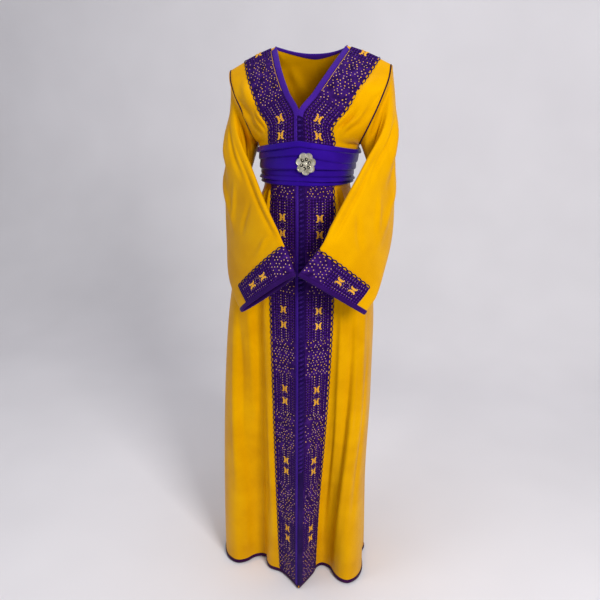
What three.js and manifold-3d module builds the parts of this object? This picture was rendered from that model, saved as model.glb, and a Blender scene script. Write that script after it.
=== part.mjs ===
// A long caftan with a draped sash and a brooch: three.js, millimetres, +Z up, front towards -Y.
// Every cloth piece is a thin closed wall. The garment's cut is given by short tables of named
// columns: where an edge runs at each station. Trim is made from its panel's own points, moved out.
// "left" and "right" are as seen from the front: left is -X and right is +X.
import * as THREE from 'three';
import { mergeVertices } from 'three/addons/utils/BufferGeometryUtils.js';
import Module from 'manifold-3d';

const wasm = await Module();
wasm.setup();

// ---- driving dimensions, mm ----
const CLOTH = 2;                // thickness of the satin walls
const TRIM = 1.6;               // thickness of embroidered bands and the closure braid
const GAP = 0.3;                // air between pieces that are sewn together
const EDGE_INSET = 0.2;         // each panel stops this far short of its seam line
const BINDING_WIDTH = 12;       // smooth binding along the neck, and half the closure braid
const BINDING_WALL = 1;         // thickness of the folded binding tape
const BAND_WIDTH = 82;          // from the front edge to the outer edge of the embroidered band
const HEM_Z = -1430;            // the hem, below the shoulders' neck points
const HEM_BINDING = 9;
const CUFF_BINDING = 10;
const CUFF_BAND = 72;           // from the sleeve's end to the top of its embroidered band
const PIPING_RADIUS = 1.5;
const SHOULDER_RISE = 3;        // the shoulder seam's soft upward curve
const NECK_SLACK = 0.8;         // the neck binding lies this far off the cloth, as the edge turns sharply
const BUTTON_PITCH = 12.5;
const BUTTON = { halfWidth: 4.8, halfHeight: 3.6, depth: 3.4, root: 0.6 };   // root: sunk in the braid
const LOWEST_BUTTON = -1062;
const NECK_BINDING_END = 0.82;  // the binding's last length stops at this share, clear of its mirror twin
const OPENING_HALF_GAP = 1.4;   // each end of the hem binding stops this far from the opening's edge
const BROOCH = { halfWidth: 25, halfHeight: 29, petals: 6, depth: 5, x: 22, z: -262 };

const HALF = CLOTH / 2;
const TRIM_LOW = HALF + GAP;
const TRIM_HIGH = TRIM_LOW + TRIM;
const SASH_LOW = TRIM_HIGH + 0.4;
const LEFT = -1;
const RIGHT = 1;
const QUARTER_ARC = 0.5523;     // handle length that turns a cubic curve into a quarter ellipse

// ---- tables: "at" runs 0 at the shoulder seam, 1 at the underarm, 2 at the hem ----
const AT_V_POINT = 0.82;
const AT_SASH_TOP = 1.005;
const AT_SASH_END = 1.09;
const BODICE_ROWS = [0, 0.1, 0.2, 0.31, 0.42, 0.53, 0.64, 0.73, AT_V_POINT, 0.91, 1];
const SIDE_LENGTH = 1210;       // of the side seam, underarm to hem
const AT_HEM_BINDING = 2 - HEM_BINDING / SIDE_LENGTH;
const SKIRT_ROWS = [1.03, 1.06, AT_SASH_END, 1.125, 1.16, 1.21, 1.28, 1.36, 1.45, 1.55, 1.66, 1.77,
  1.88, 1.95, AT_HEM_BINDING, 2];
const ROWS = [...BODICE_ROWS, ...SKIRT_ROWS];

// the front edge: half the neck opening, the sideways drift of the centre, depth and height
const FRONT_EDGE = [
  { at: 0, open: 88, drift: 0, y: 0, z: 2 },
  { at: 0.31, open: 59, drift: 1, y: -60, z: -53 },
  { at: 0.6, open: 30, drift: 2, y: -99, z: -104 },
  { at: AT_V_POINT, open: 0, drift: 3, y: -123, z: -153 },
  { at: 1, open: 0, drift: 4, y: -124, z: -205 },
  { at: 1.045, open: 0, drift: 5, y: -118, z: -260 },
  { at: AT_SASH_END, open: 0, drift: 5, y: -117, z: -318 },
  { at: 1.16, open: 0, drift: 7, y: -123, z: -400 },
  { at: 1.27, open: 0, drift: 9, y: -131, z: -530 },
  { at: 1.42, open: 0, drift: 13, y: -142, z: -715 },
  { at: 1.58, open: 0, drift: 17, y: -155, z: -915 },
  { at: 1.82, open: 0, drift: 20, y: -172, z: -1210 },
  { at: 2, open: 0, drift: 20, y: -190, z: HEM_Z },
];

// the centre of the back, from the nape to the hem
const BACK_CENTRE = [
  { at: 0, x: 0, y: 50, z: -14 },
  { at: 0.1, x: 0, y: 62, z: -34 },
  { at: 0.31, x: 0, y: 86, z: -80 },
  { at: 0.64, x: 0, y: 98, z: -150 },
  { at: 1, x: 0, y: 88, z: -222 },
  { at: AT_SASH_END, x: -4, y: 84, z: -320 },
  { at: 1.16, x: -6, y: 104, z: -402 },
  { at: 1.27, x: -10, y: 124, z: -532 },
  { at: 1.42, x: -16, y: 138, z: -716 },
  { at: 1.58, x: -24, y: 150, z: -916 },
  { at: 1.82, x: -36, y: 166, z: -1210 },
  { at: 2, x: -38, y: 178, z: HEM_Z },
];

// the side seams below the underarm
const SIDE_SEAM = [
  { at: 1, left: -130, right: 126, y: 0, z: -222 },
  { at: 1.045, left: -121, right: 112, y: 0, z: -270 },
  { at: AT_SASH_END, left: -115, right: 102, y: 0, z: -320 },
  { at: 1.16, left: -146, right: 132, y: 0, z: -402 },
  { at: 1.27, left: -188, right: 162, y: 0, z: -532 },
  { at: 1.42, left: -216, right: 178, y: 0, z: -716 },
  { at: 1.58, left: -230, right: 178, y: -2, z: -916 },
  { at: 1.82, left: -244, right: 158, y: -6, z: -1210 },
  { at: 2, left: -250, right: 166, y: -15, z: HEM_Z },
];

// the armholes, from the shoulder tip down the front, round the underarm and up the back
const UNDERARM_STATION = 6;
const ARMHOLES = {
  left: [
    { x: -203, y: 0, z: -50 }, { x: -198, y: -21, z: -72 }, { x: -180, y: -42, z: -110 },
    { x: -157, y: -58, z: -146 }, { x: -140, y: -58, z: -186 }, { x: -131, y: -34, z: -215 },
    { x: -130, y: 0, z: -222 }, { x: -139, y: 35, z: -208 }, { x: -158, y: 56, z: -174 },
    { x: -178, y: 54, z: -128 }, { x: -195, y: 29, z: -80 },
  ],
  right: [
    { x: 193, y: 0, z: -40 }, { x: 192, y: -22, z: -70 }, { x: 183, y: -44, z: -106 },
    { x: 169, y: -60, z: -145 }, { x: 149, y: -60, z: -187 }, { x: 131, y: -34, z: -216 },
    { x: 126, y: 0, z: -222 }, { x: 136, y: 35, z: -208 }, { x: 157, y: 56, z: -172 },
    { x: 177, y: 54, z: -124 }, { x: 190, y: 29, z: -72 },
  ],
};

// the hem's outline: folds from the forward ridge at the opening round to each side seam
const HEM_FOLDS = {
  left: [
    { x: 20, y: -190 }, { x: -14, y: -160 }, { x: -46, y: -139 }, { x: -82, y: -131 },
    { x: -97, y: -112 }, { x: -104, y: -91 }, { x: -123, y: -88 }, { x: -142, y: -100 },
    { x: -158, y: -122 }, { x: -182, y: -135 }, { x: -213, y: -122 }, { x: -238, y: -82 },
    { x: -250, y: -15 },
  ],
  right: [
    { x: 20, y: -190 }, { x: 33, y: -155 }, { x: 44, y: -120 }, { x: 49, y: -93 },
    { x: 63, y: -81 }, { x: 88, y: -89 }, { x: 107, y: -115 }, { x: 127, y: -131 },
    { x: 148, y: -134 }, { x: 168, y: -114 }, { x: 177, y: -74 }, { x: 166, y: -15 },
  ],
};
const BACK_FOLDS = { count: 7, depth: 13, growth: 1.1 };

// the sleeves: the taut upper fold, the hanging lower fold, and how far each layer swells
const SLEEVES = {
  left: [
    { at: 0.1, tx: -203, ty: -15, tz: -108, bx: -152, by: 7, bz: -276, inner: 40, outer: 46 },
    { at: 0.22, tx: -188, ty: -40, tz: -169, bx: -177, by: 9, bz: -336, inner: 25, outer: 40 },
    { at: 0.36, tx: -156, ty: -80, tz: -231, bx: -204, by: 0, bz: -402, inner: 14, outer: 34 },
    { at: 0.48, tx: -123, ty: -110, tz: -285, bx: -214, by: -18, bz: -460, inner: 12, outer: 28 },
    { at: 0.6, tx: -92, ty: -140, tz: -333, bx: -208, by: -50, bz: -508, inner: 12, outer: 22 },
    { at: 0.71, tx: -58, ty: -170, tz: -381, bx: -194, by: -92, bz: -548, inner: 12, outer: 18 },
    { at: 0.87, tx: -9, ty: -205, tz: -447, bx: -158, by: -152, bz: -592, inner: 10, outer: 14 },
    { at: 1, tx: 22, ty: -230, tz: -506, bx: -122, by: -199, bz: -616, inner: 9, outer: 12 },
  ],
  right: [
    { at: 0.12, tx: 204, ty: -15, tz: -106, bx: 158, by: 3, bz: -284, inner: 38, outer: 40 },
    { at: 0.21, tx: 203, ty: -40, tz: -152, bx: 175, by: 0, bz: -323, inner: 26, outer: 34 },
    { at: 0.3, tx: 191, ty: -65, tz: -193, bx: 191, by: -5, bz: -361, inner: 18, outer: 30 },
    { at: 0.44, tx: 164, ty: -105, tz: -255, bx: 211, by: -15, bz: -418, inner: 12, outer: 26 },
    { at: 0.55, tx: 143, ty: -135, tz: -305, bx: 215, by: -43, bz: -459, inner: 12, outer: 22 },
    { at: 0.74, tx: 105, ty: -190, tz: -391, bx: 209, by: -103, bz: -523, inner: 12, outer: 18 },
    { at: 0.87, tx: 74, ty: -215, tz: -448, bx: 201, by: -140, bz: -566, inner: 10, outer: 14 },
    { at: 1, tx: 32, ty: -232, tz: -505, bx: 178, by: -175, bz: -604, inner: 9, outer: 12 },
  ],
};
const SLEEVE_BLEND = 0.32;      // the armhole's shape fades into the flat sleeve over this share
const AXIS_STEP = 0.02;         // how far along the sleeve its direction is measured
const SLEEVE_HEAD = 55;         // the sleeve's half width at the armhole, front and back
const SLEEVE_ROWS = [0, 0.04, 0.09, 0.15, 0.22, 0.29, 0.36, 0.44, 0.52, 0.6, 0.69, 0.78];

// the sash's folds: how far each stands out from the body, from its top edge to its bottom edge
const SASH_FOLDS = [
  { down: 0, out: 3.4 }, { down: 0.1, out: 6.2 }, { down: 0.22, out: 4.6 }, { down: 0.36, out: 7.4 },
  { down: 0.5, out: 5.2 }, { down: 0.66, out: 7.8 }, { down: 0.8, out: 4.8 }, { down: 0.9, out: 6.4 },
  { down: 1, out: 3.2 },
];

// the sash's edges, as shares of the way from the underarm's level to the waist's last level
const SASH_START = { front: 0.07, side: 0.14 };
const SASH_STOP = 0.98;
const SASH_SWAY = 0.9;          // each fold wanders up to this far in and out along its length

// ---- curves ----

// A column of a table as a smooth function of "at", with no overshoot between rows.
function column(rows, name) {
  const at = rows.map((row) => row.at);
  const value = rows.map((row) => row[name]);
  const rise = at.slice(1).map((next, i) => (value[i + 1] - value[i]) / (next - at[i]));
  const slope = value.map((_, i) => {
    const before = rise[Math.max(i - 1, 0)];
    const after = rise[Math.min(i, rise.length - 1)];
    return before * after <= 0 ? 0 : (2 * before * after) / (before + after);
  });
  return (t) => {
    let i = at.findIndex((next) => next >= t) - 1;
    i = i < -1 ? at.length - 2 : Math.max(i, 0);
    const span = at[i + 1] - at[i];
    const s = (t - at[i]) / span;
    const tail = s * s * (3 - 2 * s);
    const swing = s * (1 - s) * (1 - s) * slope[i] - s * s * (1 - s) * slope[i + 1];
    return value[i] + (value[i + 1] - value[i]) * tail + span * swing;
  };
}

function curveOf(rows, names = ['x', 'y', 'z']) {
  const columns = names.map((name) => column(rows, name));
  return (t) => new THREE.Vector3(...columns.map((value) => value(t)));
}

function throughPoints(rows, closed = false) {
  const points = rows.map((row) => new THREE.Vector3(row.x, row.y, row.z ?? HEM_Z));
  return new THREE.CatmullRomCurve3(points, closed, 'centripetal');
}

// Points at given distances along a fine polyline.
function pointsAtDistances(line, distances) {
  const run = [0];
  for (let i = 1; i < line.length; i += 1) {
    run.push(run[i - 1] + line[i].distanceTo(line[i - 1]));
  }
  return distances(run[run.length - 1]).map((distance) => {
    let i = run.findIndex((length) => length >= distance);
    i = i < 1 ? (distance <= 0 ? 1 : run.length - 1) : i;
    const share = (distance - run[i - 1]) / (run[i] - run[i - 1]);
    return line[i - 1].clone().lerp(line[i], share);
  });
}

const evenly = (count) => (length) => Array.from({ length: count + 1 }, (_, i) => (length * i) / count);

const frontEdge = {
  open: column(FRONT_EDGE, 'open'),
  drift: column(FRONT_EDGE, 'drift'),
  y: column(FRONT_EDGE, 'y'),
  z: column(FRONT_EDGE, 'z'),
};
const backCentre = curveOf(BACK_CENTRE);
const sideSeam = {
  left: curveOf(SIDE_SEAM, ['left', 'y', 'z']),
  right: curveOf(SIDE_SEAM, ['right', 'y', 'z']),
};
const armhole = {
  left: throughPoints(ARMHOLES.left, true),
  right: throughPoints(ARMHOLES.right, true),
};
const hemFold = { left: throughPoints(HEM_FOLDS.left), right: throughPoints(HEM_FOLDS.right) };
const nameOf = (side) => (side === LEFT ? 'left' : 'right');

function frontEdgePoint(side, at) {
  const x = frontEdge.drift(at) + side * frontEdge.open(at);
  return new THREE.Vector3(x, frontEdge.y(at), frontEdge.z(at));
}

// The armhole runs down the front for onBack = false, and down the back for onBack = true.
function armholePoint(side, at, onBack) {
  const loop = armhole[nameOf(side)];
  const underarm = UNDERARM_STATION / loop.points.length;
  return loop.getPoint(onBack ? (1 - at * (1 - underarm)) % 1 : at * underarm);
}

function outerPoint(side, at, onBack) {
  return at <= 1 ? armholePoint(side, at, onBack) : sideSeam[nameOf(side)](at);
}

// One level of the cloth from the centre to the side: a quarter of an oval, rising evenly.
function ovalRow(centre, outer, lift = 0, steps = 120) {
  const reach = outer.x - centre.x;
  const depth = centre.y - outer.y;
  const row = [];
  for (let i = 0; i <= steps; i += 1) {
    const t = i / steps;
    const [a, b, c, d] = [(1 - t) ** 3, 3 * t * (1 - t) ** 2, 3 * t * t * (1 - t), t ** 3];
    const x = a * centre.x + b * (centre.x + QUARTER_ARC * reach) + (c + d) * outer.x;
    const y = (a + b) * centre.y + c * (outer.y + QUARTER_ARC * depth) + d * outer.y;
    const share = (x - centre.x) / reach;
    const z = THREE.MathUtils.lerp(centre.z, outer.z, share) + lift * Math.sin(Math.PI * share);
    row.push(new THREE.Vector3(x, y, z));
  }
  return row;
}

const shoulderLift = (at) => SHOULDER_RISE * Math.max(0, 1 - at / BODICE_ROWS[2]);
const foldGrowth = (at) => Math.max(0, (at - AT_SASH_END) / (2 - AT_SASH_END)) ** BACK_FOLDS.growth;

function frontRow(side, at) {
  const row = ovalRow(frontEdgePoint(side, at), outerPoint(side, at, false), shoulderLift(at));
  const growth = foldGrowth(at);
  if (growth > 0) {
    const even = pointsAtDistances(row, evenly(row.length - 1));
    const folded = hemFold[nameOf(side)].getSpacedPoints(row.length - 1);
    even.forEach((point, i) => {
      row[i].set(
        THREE.MathUtils.lerp(point.x, folded[i].x, growth),
        THREE.MathUtils.lerp(point.y, folded[i].y, growth),
        point.z,
      );
    });
  }
  return row;
}

function backRow(side, at) {
  const outer = at <= 1 ? outerPoint(side, at, true) : frontRow(side, at).pop();
  const row = ovalRow(backCentre(at), outer, shoulderLift(at));
  const growth = foldGrowth(at);
  return row.map((point, i) => {
    const share = i / (row.length - 1);
    const wave = Math.cos(Math.PI * BACK_FOLDS.count * share) * (1 - share ** 4);
    const out = BACK_FOLDS.depth * growth * wave;
    const away = new THREE.Vector3(point.x, point.y, 0).normalize();
    return point.addScaledVector(away, out);
  });
}

// ---- sheets: grids of points, rows from the top down and columns across ----

const BAND_COLUMNS = [0, BINDING_WIDTH, 35, 58, BAND_WIDTH];
const SIDE_COLUMNS = 11;
const BINDING_COLUMN = 1;
const BAND_COLUMN = BAND_COLUMNS.length - 1;
const NECK_COLUMNS = 4;
const BACK_COLUMNS = 7;
const CUFF_COLUMNS = 8;         // the cuff's embroidery covers this many columns each side of the fold
const TAPE_SHARE = 0.7;         // where the back's first row is short, its tape row sits at this share

function frontColumns(length) {
  const rest = length - BAND_WIDTH;
  const side = Array.from(
    { length: SIDE_COLUMNS }, (_, i) => BAND_WIDTH + (rest * (i + 1)) / SIDE_COLUMNS);
  return [...BAND_COLUMNS, ...side];
}

function frontSheet(side) {
  const points = ROWS.map((at) => pointsAtDistances(frontRow(side, at), frontColumns));
  return { points, flip: side === LEFT };
}

// Half of the back's top edge: the neck's curve, then the shoulder seam.
function backTop(side) {
  const nape = backCentre(0);
  const neckPoint = frontEdgePoint(side, 0);
  const seam = frontRow(side, 0);
  const top = [];
  for (let i = 0; i < NECK_COLUMNS; i += 1) {
    const turn = (Math.PI / 2) * (i / NECK_COLUMNS);
    const x = nape.x + (neckPoint.x - nape.x) * Math.sin(turn);
    const y = neckPoint.y + (nape.y - neckPoint.y) * Math.cos(turn);
    const z = nape.z + (neckPoint.z - nape.z) * Math.sin(turn) ** 2;
    top.push(new THREE.Vector3(x, y, z));
  }
  return [...top, ...pointsAtDistances(seam, evenly(BACK_COLUMNS))];
}

function backHalf(side) {
  const even = evenly(NECK_COLUMNS + BACK_COLUMNS);
  return ROWS.map((at) => (at === 0 ? backTop(side) : pointsAtDistances(backRow(side, at), even)));
}

// The back has one row more than the fronts, where the neck binding's lower edge runs.
function backSheet() {
  const left = backHalf(LEFT);
  const right = backHalf(RIGHT);
  const points = left.map((row, i) => [...row.slice(1).reverse(), ...right[i]]);
  const [top, next] = points;
  const tape = top.map((p, c) => {
    const share = BINDING_WIDTH / p.distanceTo(next[c]);
    return p.clone().lerp(next[c], Math.min(TAPE_SHARE, share));
  });
  points.splice(1, 0, tape);
  return { points, flip: true };
}

const keyOf = (point) => point.toArray().map((value) => value.toFixed(2)).join(' ');

// Gives every sheet its outward directions. Where sheets meet, they share one direction.
function addNormals(sheets) {
  const sums = new Map();
  const add = (point, normal) => {
    const key = keyOf(point);
    sums.set(key, (sums.get(key) ?? new THREE.Vector3()).add(normal));
  };
  for (const sheet of sheets) {
    const { points, flip, wrap } = sheet;
    const across = points[0].length;
    for (let r = 0; r + 1 < points.length; r += 1) {
      for (let c = 0; c < (wrap ? across : across - 1); c += 1) {
        const d = (c + 1) % across;
        const fall = points[r + 1][d].clone().sub(points[r][c]);
        const rise = points[r][d].clone().sub(points[r + 1][c]);
        const normal = fall.cross(rise).multiplyScalar(flip ? -1 : 1);
        [points[r][c], points[r][d], points[r + 1][c], points[r + 1][d]].forEach((p) => add(p, normal));
      }
    }
  }
  for (const sheet of sheets) {
    sheet.normals = sheet.points.map((row) => row.map((p) => sums.get(keyOf(p)).clone().normalize()));
  }
}

// Front and back lean against each other at the shoulder seam, so both use its upward direction.
function pinShoulder(sheet, columns, side) {
  const seam = sheet.points[0];
  const along = seam[columns[columns.length - 1]].clone().sub(seam[columns[0]]);
  const up = new THREE.Vector3(-along.z * Math.sign(along.x), 0, Math.abs(along.x)).normalize();
  up.x = side * Math.abs(up.x);
  columns.forEach((c) => sheet.normals[0][c].copy(up));
}

function slice(sheet, fromRow, toRow, fromColumn, toColumn) {
  const cut = (rows) => rows.slice(fromRow, toRow + 1).map((row) => row.slice(fromColumn, toColumn + 1));
  return { ...sheet, points: cut(sheet.points), normals: cut(sheet.normals), wrap: false };
}

// Pulls a sheet's edges in, in its own surface, so that it clears what it is sewn to.
function inset(sheet, { top = 0, bottom = 0, start = 0, end = 0 }) {
  const points = sheet.points.map((row) => row.map((p) => p.clone()));
  const last = points.length - 1;
  const pull = (p, q, by) => p.addScaledVector(q.clone().sub(p).normalize(), by);
  points[0].forEach((p, c) => pull(p, sheet.points[1][c], top));
  points[last].forEach((p, c) => pull(p, sheet.points[last - 1][c], bottom));
  points.forEach((row, r) => {
    const lastColumn = row.length - 1;
    if (!sheet.wrap) {
      pull(row[0], sheet.points[r][1], start);
      pull(row[lastColumn], sheet.points[r][lastColumn - 1], end);
    }
  });
  return { ...sheet, points };
}

// ---- solids ----

function solidOf(positions, triangles) {
  const geometry = new THREE.BufferGeometry();
  const flat = positions.flatMap((p) => p.toArray());
  geometry.setAttribute('position', new THREE.Float32BufferAttribute(flat, 3));
  geometry.setIndex(triangles);
  geometry.computeVertexNormals();
  return geometry;
}

// A closed wall between two distances from a sheet, with its rims.
function wall(sheet, low, high) {
  const { points, normals, wrap, flip } = sheet;
  const rows = points.length;
  const across = points[0].length;
  const positions = [];
  for (const distance of [high, low]) {
    points.forEach((row, r) => row.forEach((p, c) => {
      const by = typeof distance === 'function' ? distance(r, c) : distance;
      positions.push(p.clone().addScaledVector(normals[r][c], by));
    }));
  }
  const outer = (r, c) => r * across + (c % across);
  const inner = (r, c) => rows * across + outer(r, c);
  const triangles = [];
  const quad = (a, b, c, d) => {
    triangles.push(...(flip ? [a, b, c, a, c, d] : [a, c, b, a, d, c]));
  };
  const columns = wrap ? across : across - 1;
  for (let r = 0; r + 1 < rows; r += 1) {
    for (let c = 0; c < columns; c += 1) {
      quad(outer(r, c), outer(r, c + 1), outer(r + 1, c + 1), outer(r + 1, c));
      quad(inner(r, c), inner(r + 1, c), inner(r + 1, c + 1), inner(r, c + 1));
    }
  }
  for (let c = 0; c < columns; c += 1) {
    quad(inner(0, c), inner(0, c + 1), outer(0, c + 1), outer(0, c));
    quad(outer(rows - 1, c), outer(rows - 1, c + 1), inner(rows - 1, c + 1), inner(rows - 1, c));
  }
  if (!wrap) {
    for (let r = 0; r + 1 < rows; r += 1) {
      quad(outer(r, 0), outer(r + 1, 0), inner(r + 1, 0), inner(r, 0));
      quad(inner(r, columns), inner(r + 1, columns), outer(r + 1, columns), outer(r, columns));
    }
  }
  return solidOf(positions, triangles);
}

// A closed solid through sections of equally many points: a ring, or a length with flat ends.
// The side that starts at section point "turned" is split along its other diagonal.
function loft(sections, closed, turned = -1) {
  const sides = sections[0].length;
  const positions = sections.flat();
  const triangles = [];
  const count = closed ? sections.length : sections.length - 1;
  for (let i = 0; i < count; i += 1) {
    const next = (i + 1) % sections.length;
    for (let k = 0; k < sides; k += 1) {
      const a = i * sides + k;
      const b = i * sides + ((k + 1) % sides);
      const c = next * sides + ((k + 1) % sides);
      const d = next * sides + k;
      triangles.push(...(k === turned ? [a, b, d, b, c, d] : [a, b, c, a, c, d]));
    }
  }
  if (!closed) {
    for (const [section, turn] of [[0, false], [sections.length - 1, true]]) {
      const flat = capTriangles(sections[section]);
      for (const [a, b, c] of flat) {
        const face = [a, b, c].map((k) => section * sides + k);
        triangles.push(...(turn ? face : face.reverse()));
      }
    }
  }
  return turnedOutward(solidOf(positions, triangles));
}

// Triangles of a flat, possibly hollow-sided, end.
function capTriangles(section) {
  const centre = section.reduce((sum, p) => sum.add(p), new THREE.Vector3()).divideScalar(section.length);
  const normal = new THREE.Vector3();
  section.forEach((p, k) => {
    const q = section[(k + 1) % section.length];
    normal.add(p.clone().sub(centre).cross(q.clone().sub(centre)));
  });
  normal.normalize();
  const across = section[1].clone().sub(section[0]).normalize();
  const up = normal.clone().cross(across);
  const outline = section.map((p) => new THREE.Vector2(p.dot(across), p.dot(up)));
  return THREE.ShapeUtils.triangulateShape(outline, []);
}

function turnedOutward(geometry) {
  const p = geometry.getAttribute('position');
  const index = geometry.getIndex().array;
  const corner = [0, 1, 2].map(() => new THREE.Vector3());
  let volume = 0;
  for (let i = 0; i < index.length; i += 3) {
    corner.forEach((v, k) => v.fromBufferAttribute(p, index[i + k]));
    volume += corner[0].dot(corner[1].cross(corner[2]));
  }
  if (volume < 0) {
    for (let i = 0; i < index.length; i += 3) {
      [index[i], index[i + 1]] = [index[i + 1], index[i]];
    }
    geometry.computeVertexNormals();
  }
  return geometry;
}

// A folded tape round an edge. Each station gives the edge, a point further into the cloth,
// and the cloth's outward direction at both.
function bindingRound(stations, width, closed, turned, slack = 1.5 * GAP) {
  const low = HALF + slack;
  const high = low + BINDING_WALL;
  const profile = [
    [width, low], [width, high], [-high, high], [-high, -high],
    [width, -high], [width, -low], [-low, -low], [-low, low],
  ];
  const sections = stations.map(({ edge, inside, edgeNormal, insideNormal }) => {
    const away = edge.clone().sub(inside).normalize();
    return profile.map(([depth, out]) => (depth === width
      ? inside.clone().addScaledVector(insideNormal, out)
      : edge.clone().addScaledVector(away, -depth).addScaledVector(edgeNormal, out)));
  });
  return loft(sections, closed, turned);
}

function stationsAlong(sheet, edgeOf, insideOf, width) {
  return edgeOf.map(([r, c], i) => {
    const [ri, ci] = insideOf[i];
    const edge = sheet.points[r][c];
    const reach = edge.distanceTo(sheet.points[ri][ci]);
    const share = Math.min(width, reach - GAP) / reach;
    const edgeNormal = sheet.normals[r][c];
    return {
      edge,
      inside: edge.clone().lerp(sheet.points[ri][ci], share),
      edgeNormal,
      insideNormal: edgeNormal.clone().lerp(sheet.normals[ri][ci], share),
    };
  });
}

// ---- joins ----

const WELD = 1e-4;              // points closer than this are one point

function toManifold(geometry) {
  const bare = geometry.clone();
  bare.deleteAttribute('normal');
  bare.deleteAttribute('uv');
  const merged = mergeVertices(bare, WELD);
  return new wasm.Manifold(new wasm.Mesh({
    numProp: 3,
    vertProperties: new Float32Array(merged.getAttribute('position').array),
    triVerts: new Uint32Array(merged.getIndex().array),
  }));
}

function fromManifold(solid) {
  const mesh = solid.getMesh();
  const geometry = new THREE.BufferGeometry();
  geometry.setAttribute('position', new THREE.BufferAttribute(new Float32Array(mesh.vertProperties), 3));
  geometry.setIndex(new THREE.BufferAttribute(new Uint32Array(mesh.triVerts), 1));
  geometry.computeVertexNormals();
  return geometry;
}

function fused(geometries) {
  return fromManifold(geometries.map(toManifold).reduce((all, next) => all.add(next)));
}

// ---- the group ----

const COLOURS = {
  satin: { color: 0xe2a200, roughness: 0.42, metalness: 0 },
  embroidery: { color: 0x39156f, roughness: 0.7, metalness: 0 },
  binding: { color: 0x4a229a, roughness: 0.5, metalness: 0 },
  sash: { color: 0x32129a, roughness: 0.5, metalness: 0 },
  piping: { color: 0x3a1540, roughness: 0.6, metalness: 0 },
  silver: { color: 0xd8d4c4, roughness: 0.3, metalness: 0.9 },
};

const caftan = new THREE.Group();
function addPiece(name, geometry, look) {
  const mesh = new THREE.Mesh(geometry, new THREE.MeshStandardMaterial(COLOURS[look]));
  mesh.name = name;
  caftan.add(mesh);
}

// ---- fronts and back ----

const fronts = { left: frontSheet(LEFT), right: frontSheet(RIGHT) };
const back = backSheet();
addNormals([fronts.left, fronts.right, back]);
const frontAll = fronts.left.points[0].map((_, c) => c);
const backLast = back.points[0].length - 1;
pinShoulder(fronts.left, frontAll, LEFT);
pinShoulder(fronts.right, frontAll, RIGHT);
pinShoulder(back, Array.from({ length: BACK_COLUMNS + 1 }, (_, i) => i), LEFT);
pinShoulder(back, Array.from({ length: BACK_COLUMNS + 1 }, (_, i) => backLast - i), RIGHT);
const allEdges = { top: EDGE_INSET, bottom: EDGE_INSET, start: EDGE_INSET, end: EDGE_INSET };

for (const side of ['left', 'right']) {
  addPiece(`front_${side}`, wall(inset(fronts[side], allEdges), -HALF, HALF), 'satin');
}
addPiece('back', wall(inset(back, allEdges), -HALF, HALF), 'satin');

// ---- embroidered front bands, from the shoulder seam to the hem binding ----

for (const side of ['left', 'right']) {
  const band = slice(fronts[side], 0, ROWS.length - 2, BINDING_COLUMN, BAND_COLUMN);
  const clear = { top: EDGE_INSET, bottom: GAP / 2, start: GAP / 2, end: 0 };
  addPiece(`front_band_${side}`, wall(inset(band, clear), TRIM_LOW, TRIM_HIGH), 'embroidery');
}

// ---- closure: a braid over the opening with a row of knotted buttons ----

function closureSheet() {
  const from = ROWS.indexOf(AT_V_POINT);
  const pick = (name) => ROWS.slice(from, -1).map((_, i) => {
    const left = fronts.left[name][from + i];
    const right = fronts.right[name][from + i];
    return [left[BINDING_COLUMN], left[0], right[BINDING_COLUMN]].map((v) => v.clone());
  });
  return { points: pick('points'), normals: pick('normals'), flip: false, wrap: false };
}

const closure = closureSheet();

function buttonPlaces() {
  const places = [];
  const line = closure.points.map((row) => row[1]);
  const normals = closure.normals.map((row) => row[1]);
  const clear = 3 * BUTTON.halfHeight;
  const sashTop = frontEdge.z(AT_SASH_TOP) + clear;
  const sashEnd = frontEdge.z(AT_SASH_END) - clear;
  for (let z = line[0].z - BUTTON_PITCH; z > LOWEST_BUTTON; z -= BUTTON_PITCH) {
    if (z > sashTop || z < sashEnd) {
      const i = line.findIndex((p) => p.z <= z);
      const share = (z - line[i - 1].z) / (line[i].z - line[i - 1].z);
      const centre = line[i - 1].clone().lerp(line[i], share);
      places.push(centre.addScaledVector(normals[i], TRIM_HIGH + BUTTON.depth / 2 - BUTTON.root));
    }
  }
  return places;
}

const knots = buttonPlaces().map((place) => {
  const knot = new THREE.ConeGeometry(1, BUTTON.depth, 4);
  knot.rotateX(Math.PI);
  knot.scale(BUTTON.halfWidth, 1, BUTTON.halfHeight);
  knot.translate(place.x, place.y, place.z);
  return knot;
});
const closureInset = { top: EDGE_INSET, bottom: GAP / 2, start: GAP / 2, end: GAP / 2 };
const braid = wall(inset(closure, closureInset), TRIM_LOW, TRIM_HIGH);
addPiece('closure', fused([braid, ...knots]), 'embroidery');

// ---- neck binding: up one side of the opening, round the back neck and down the other side ----

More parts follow.
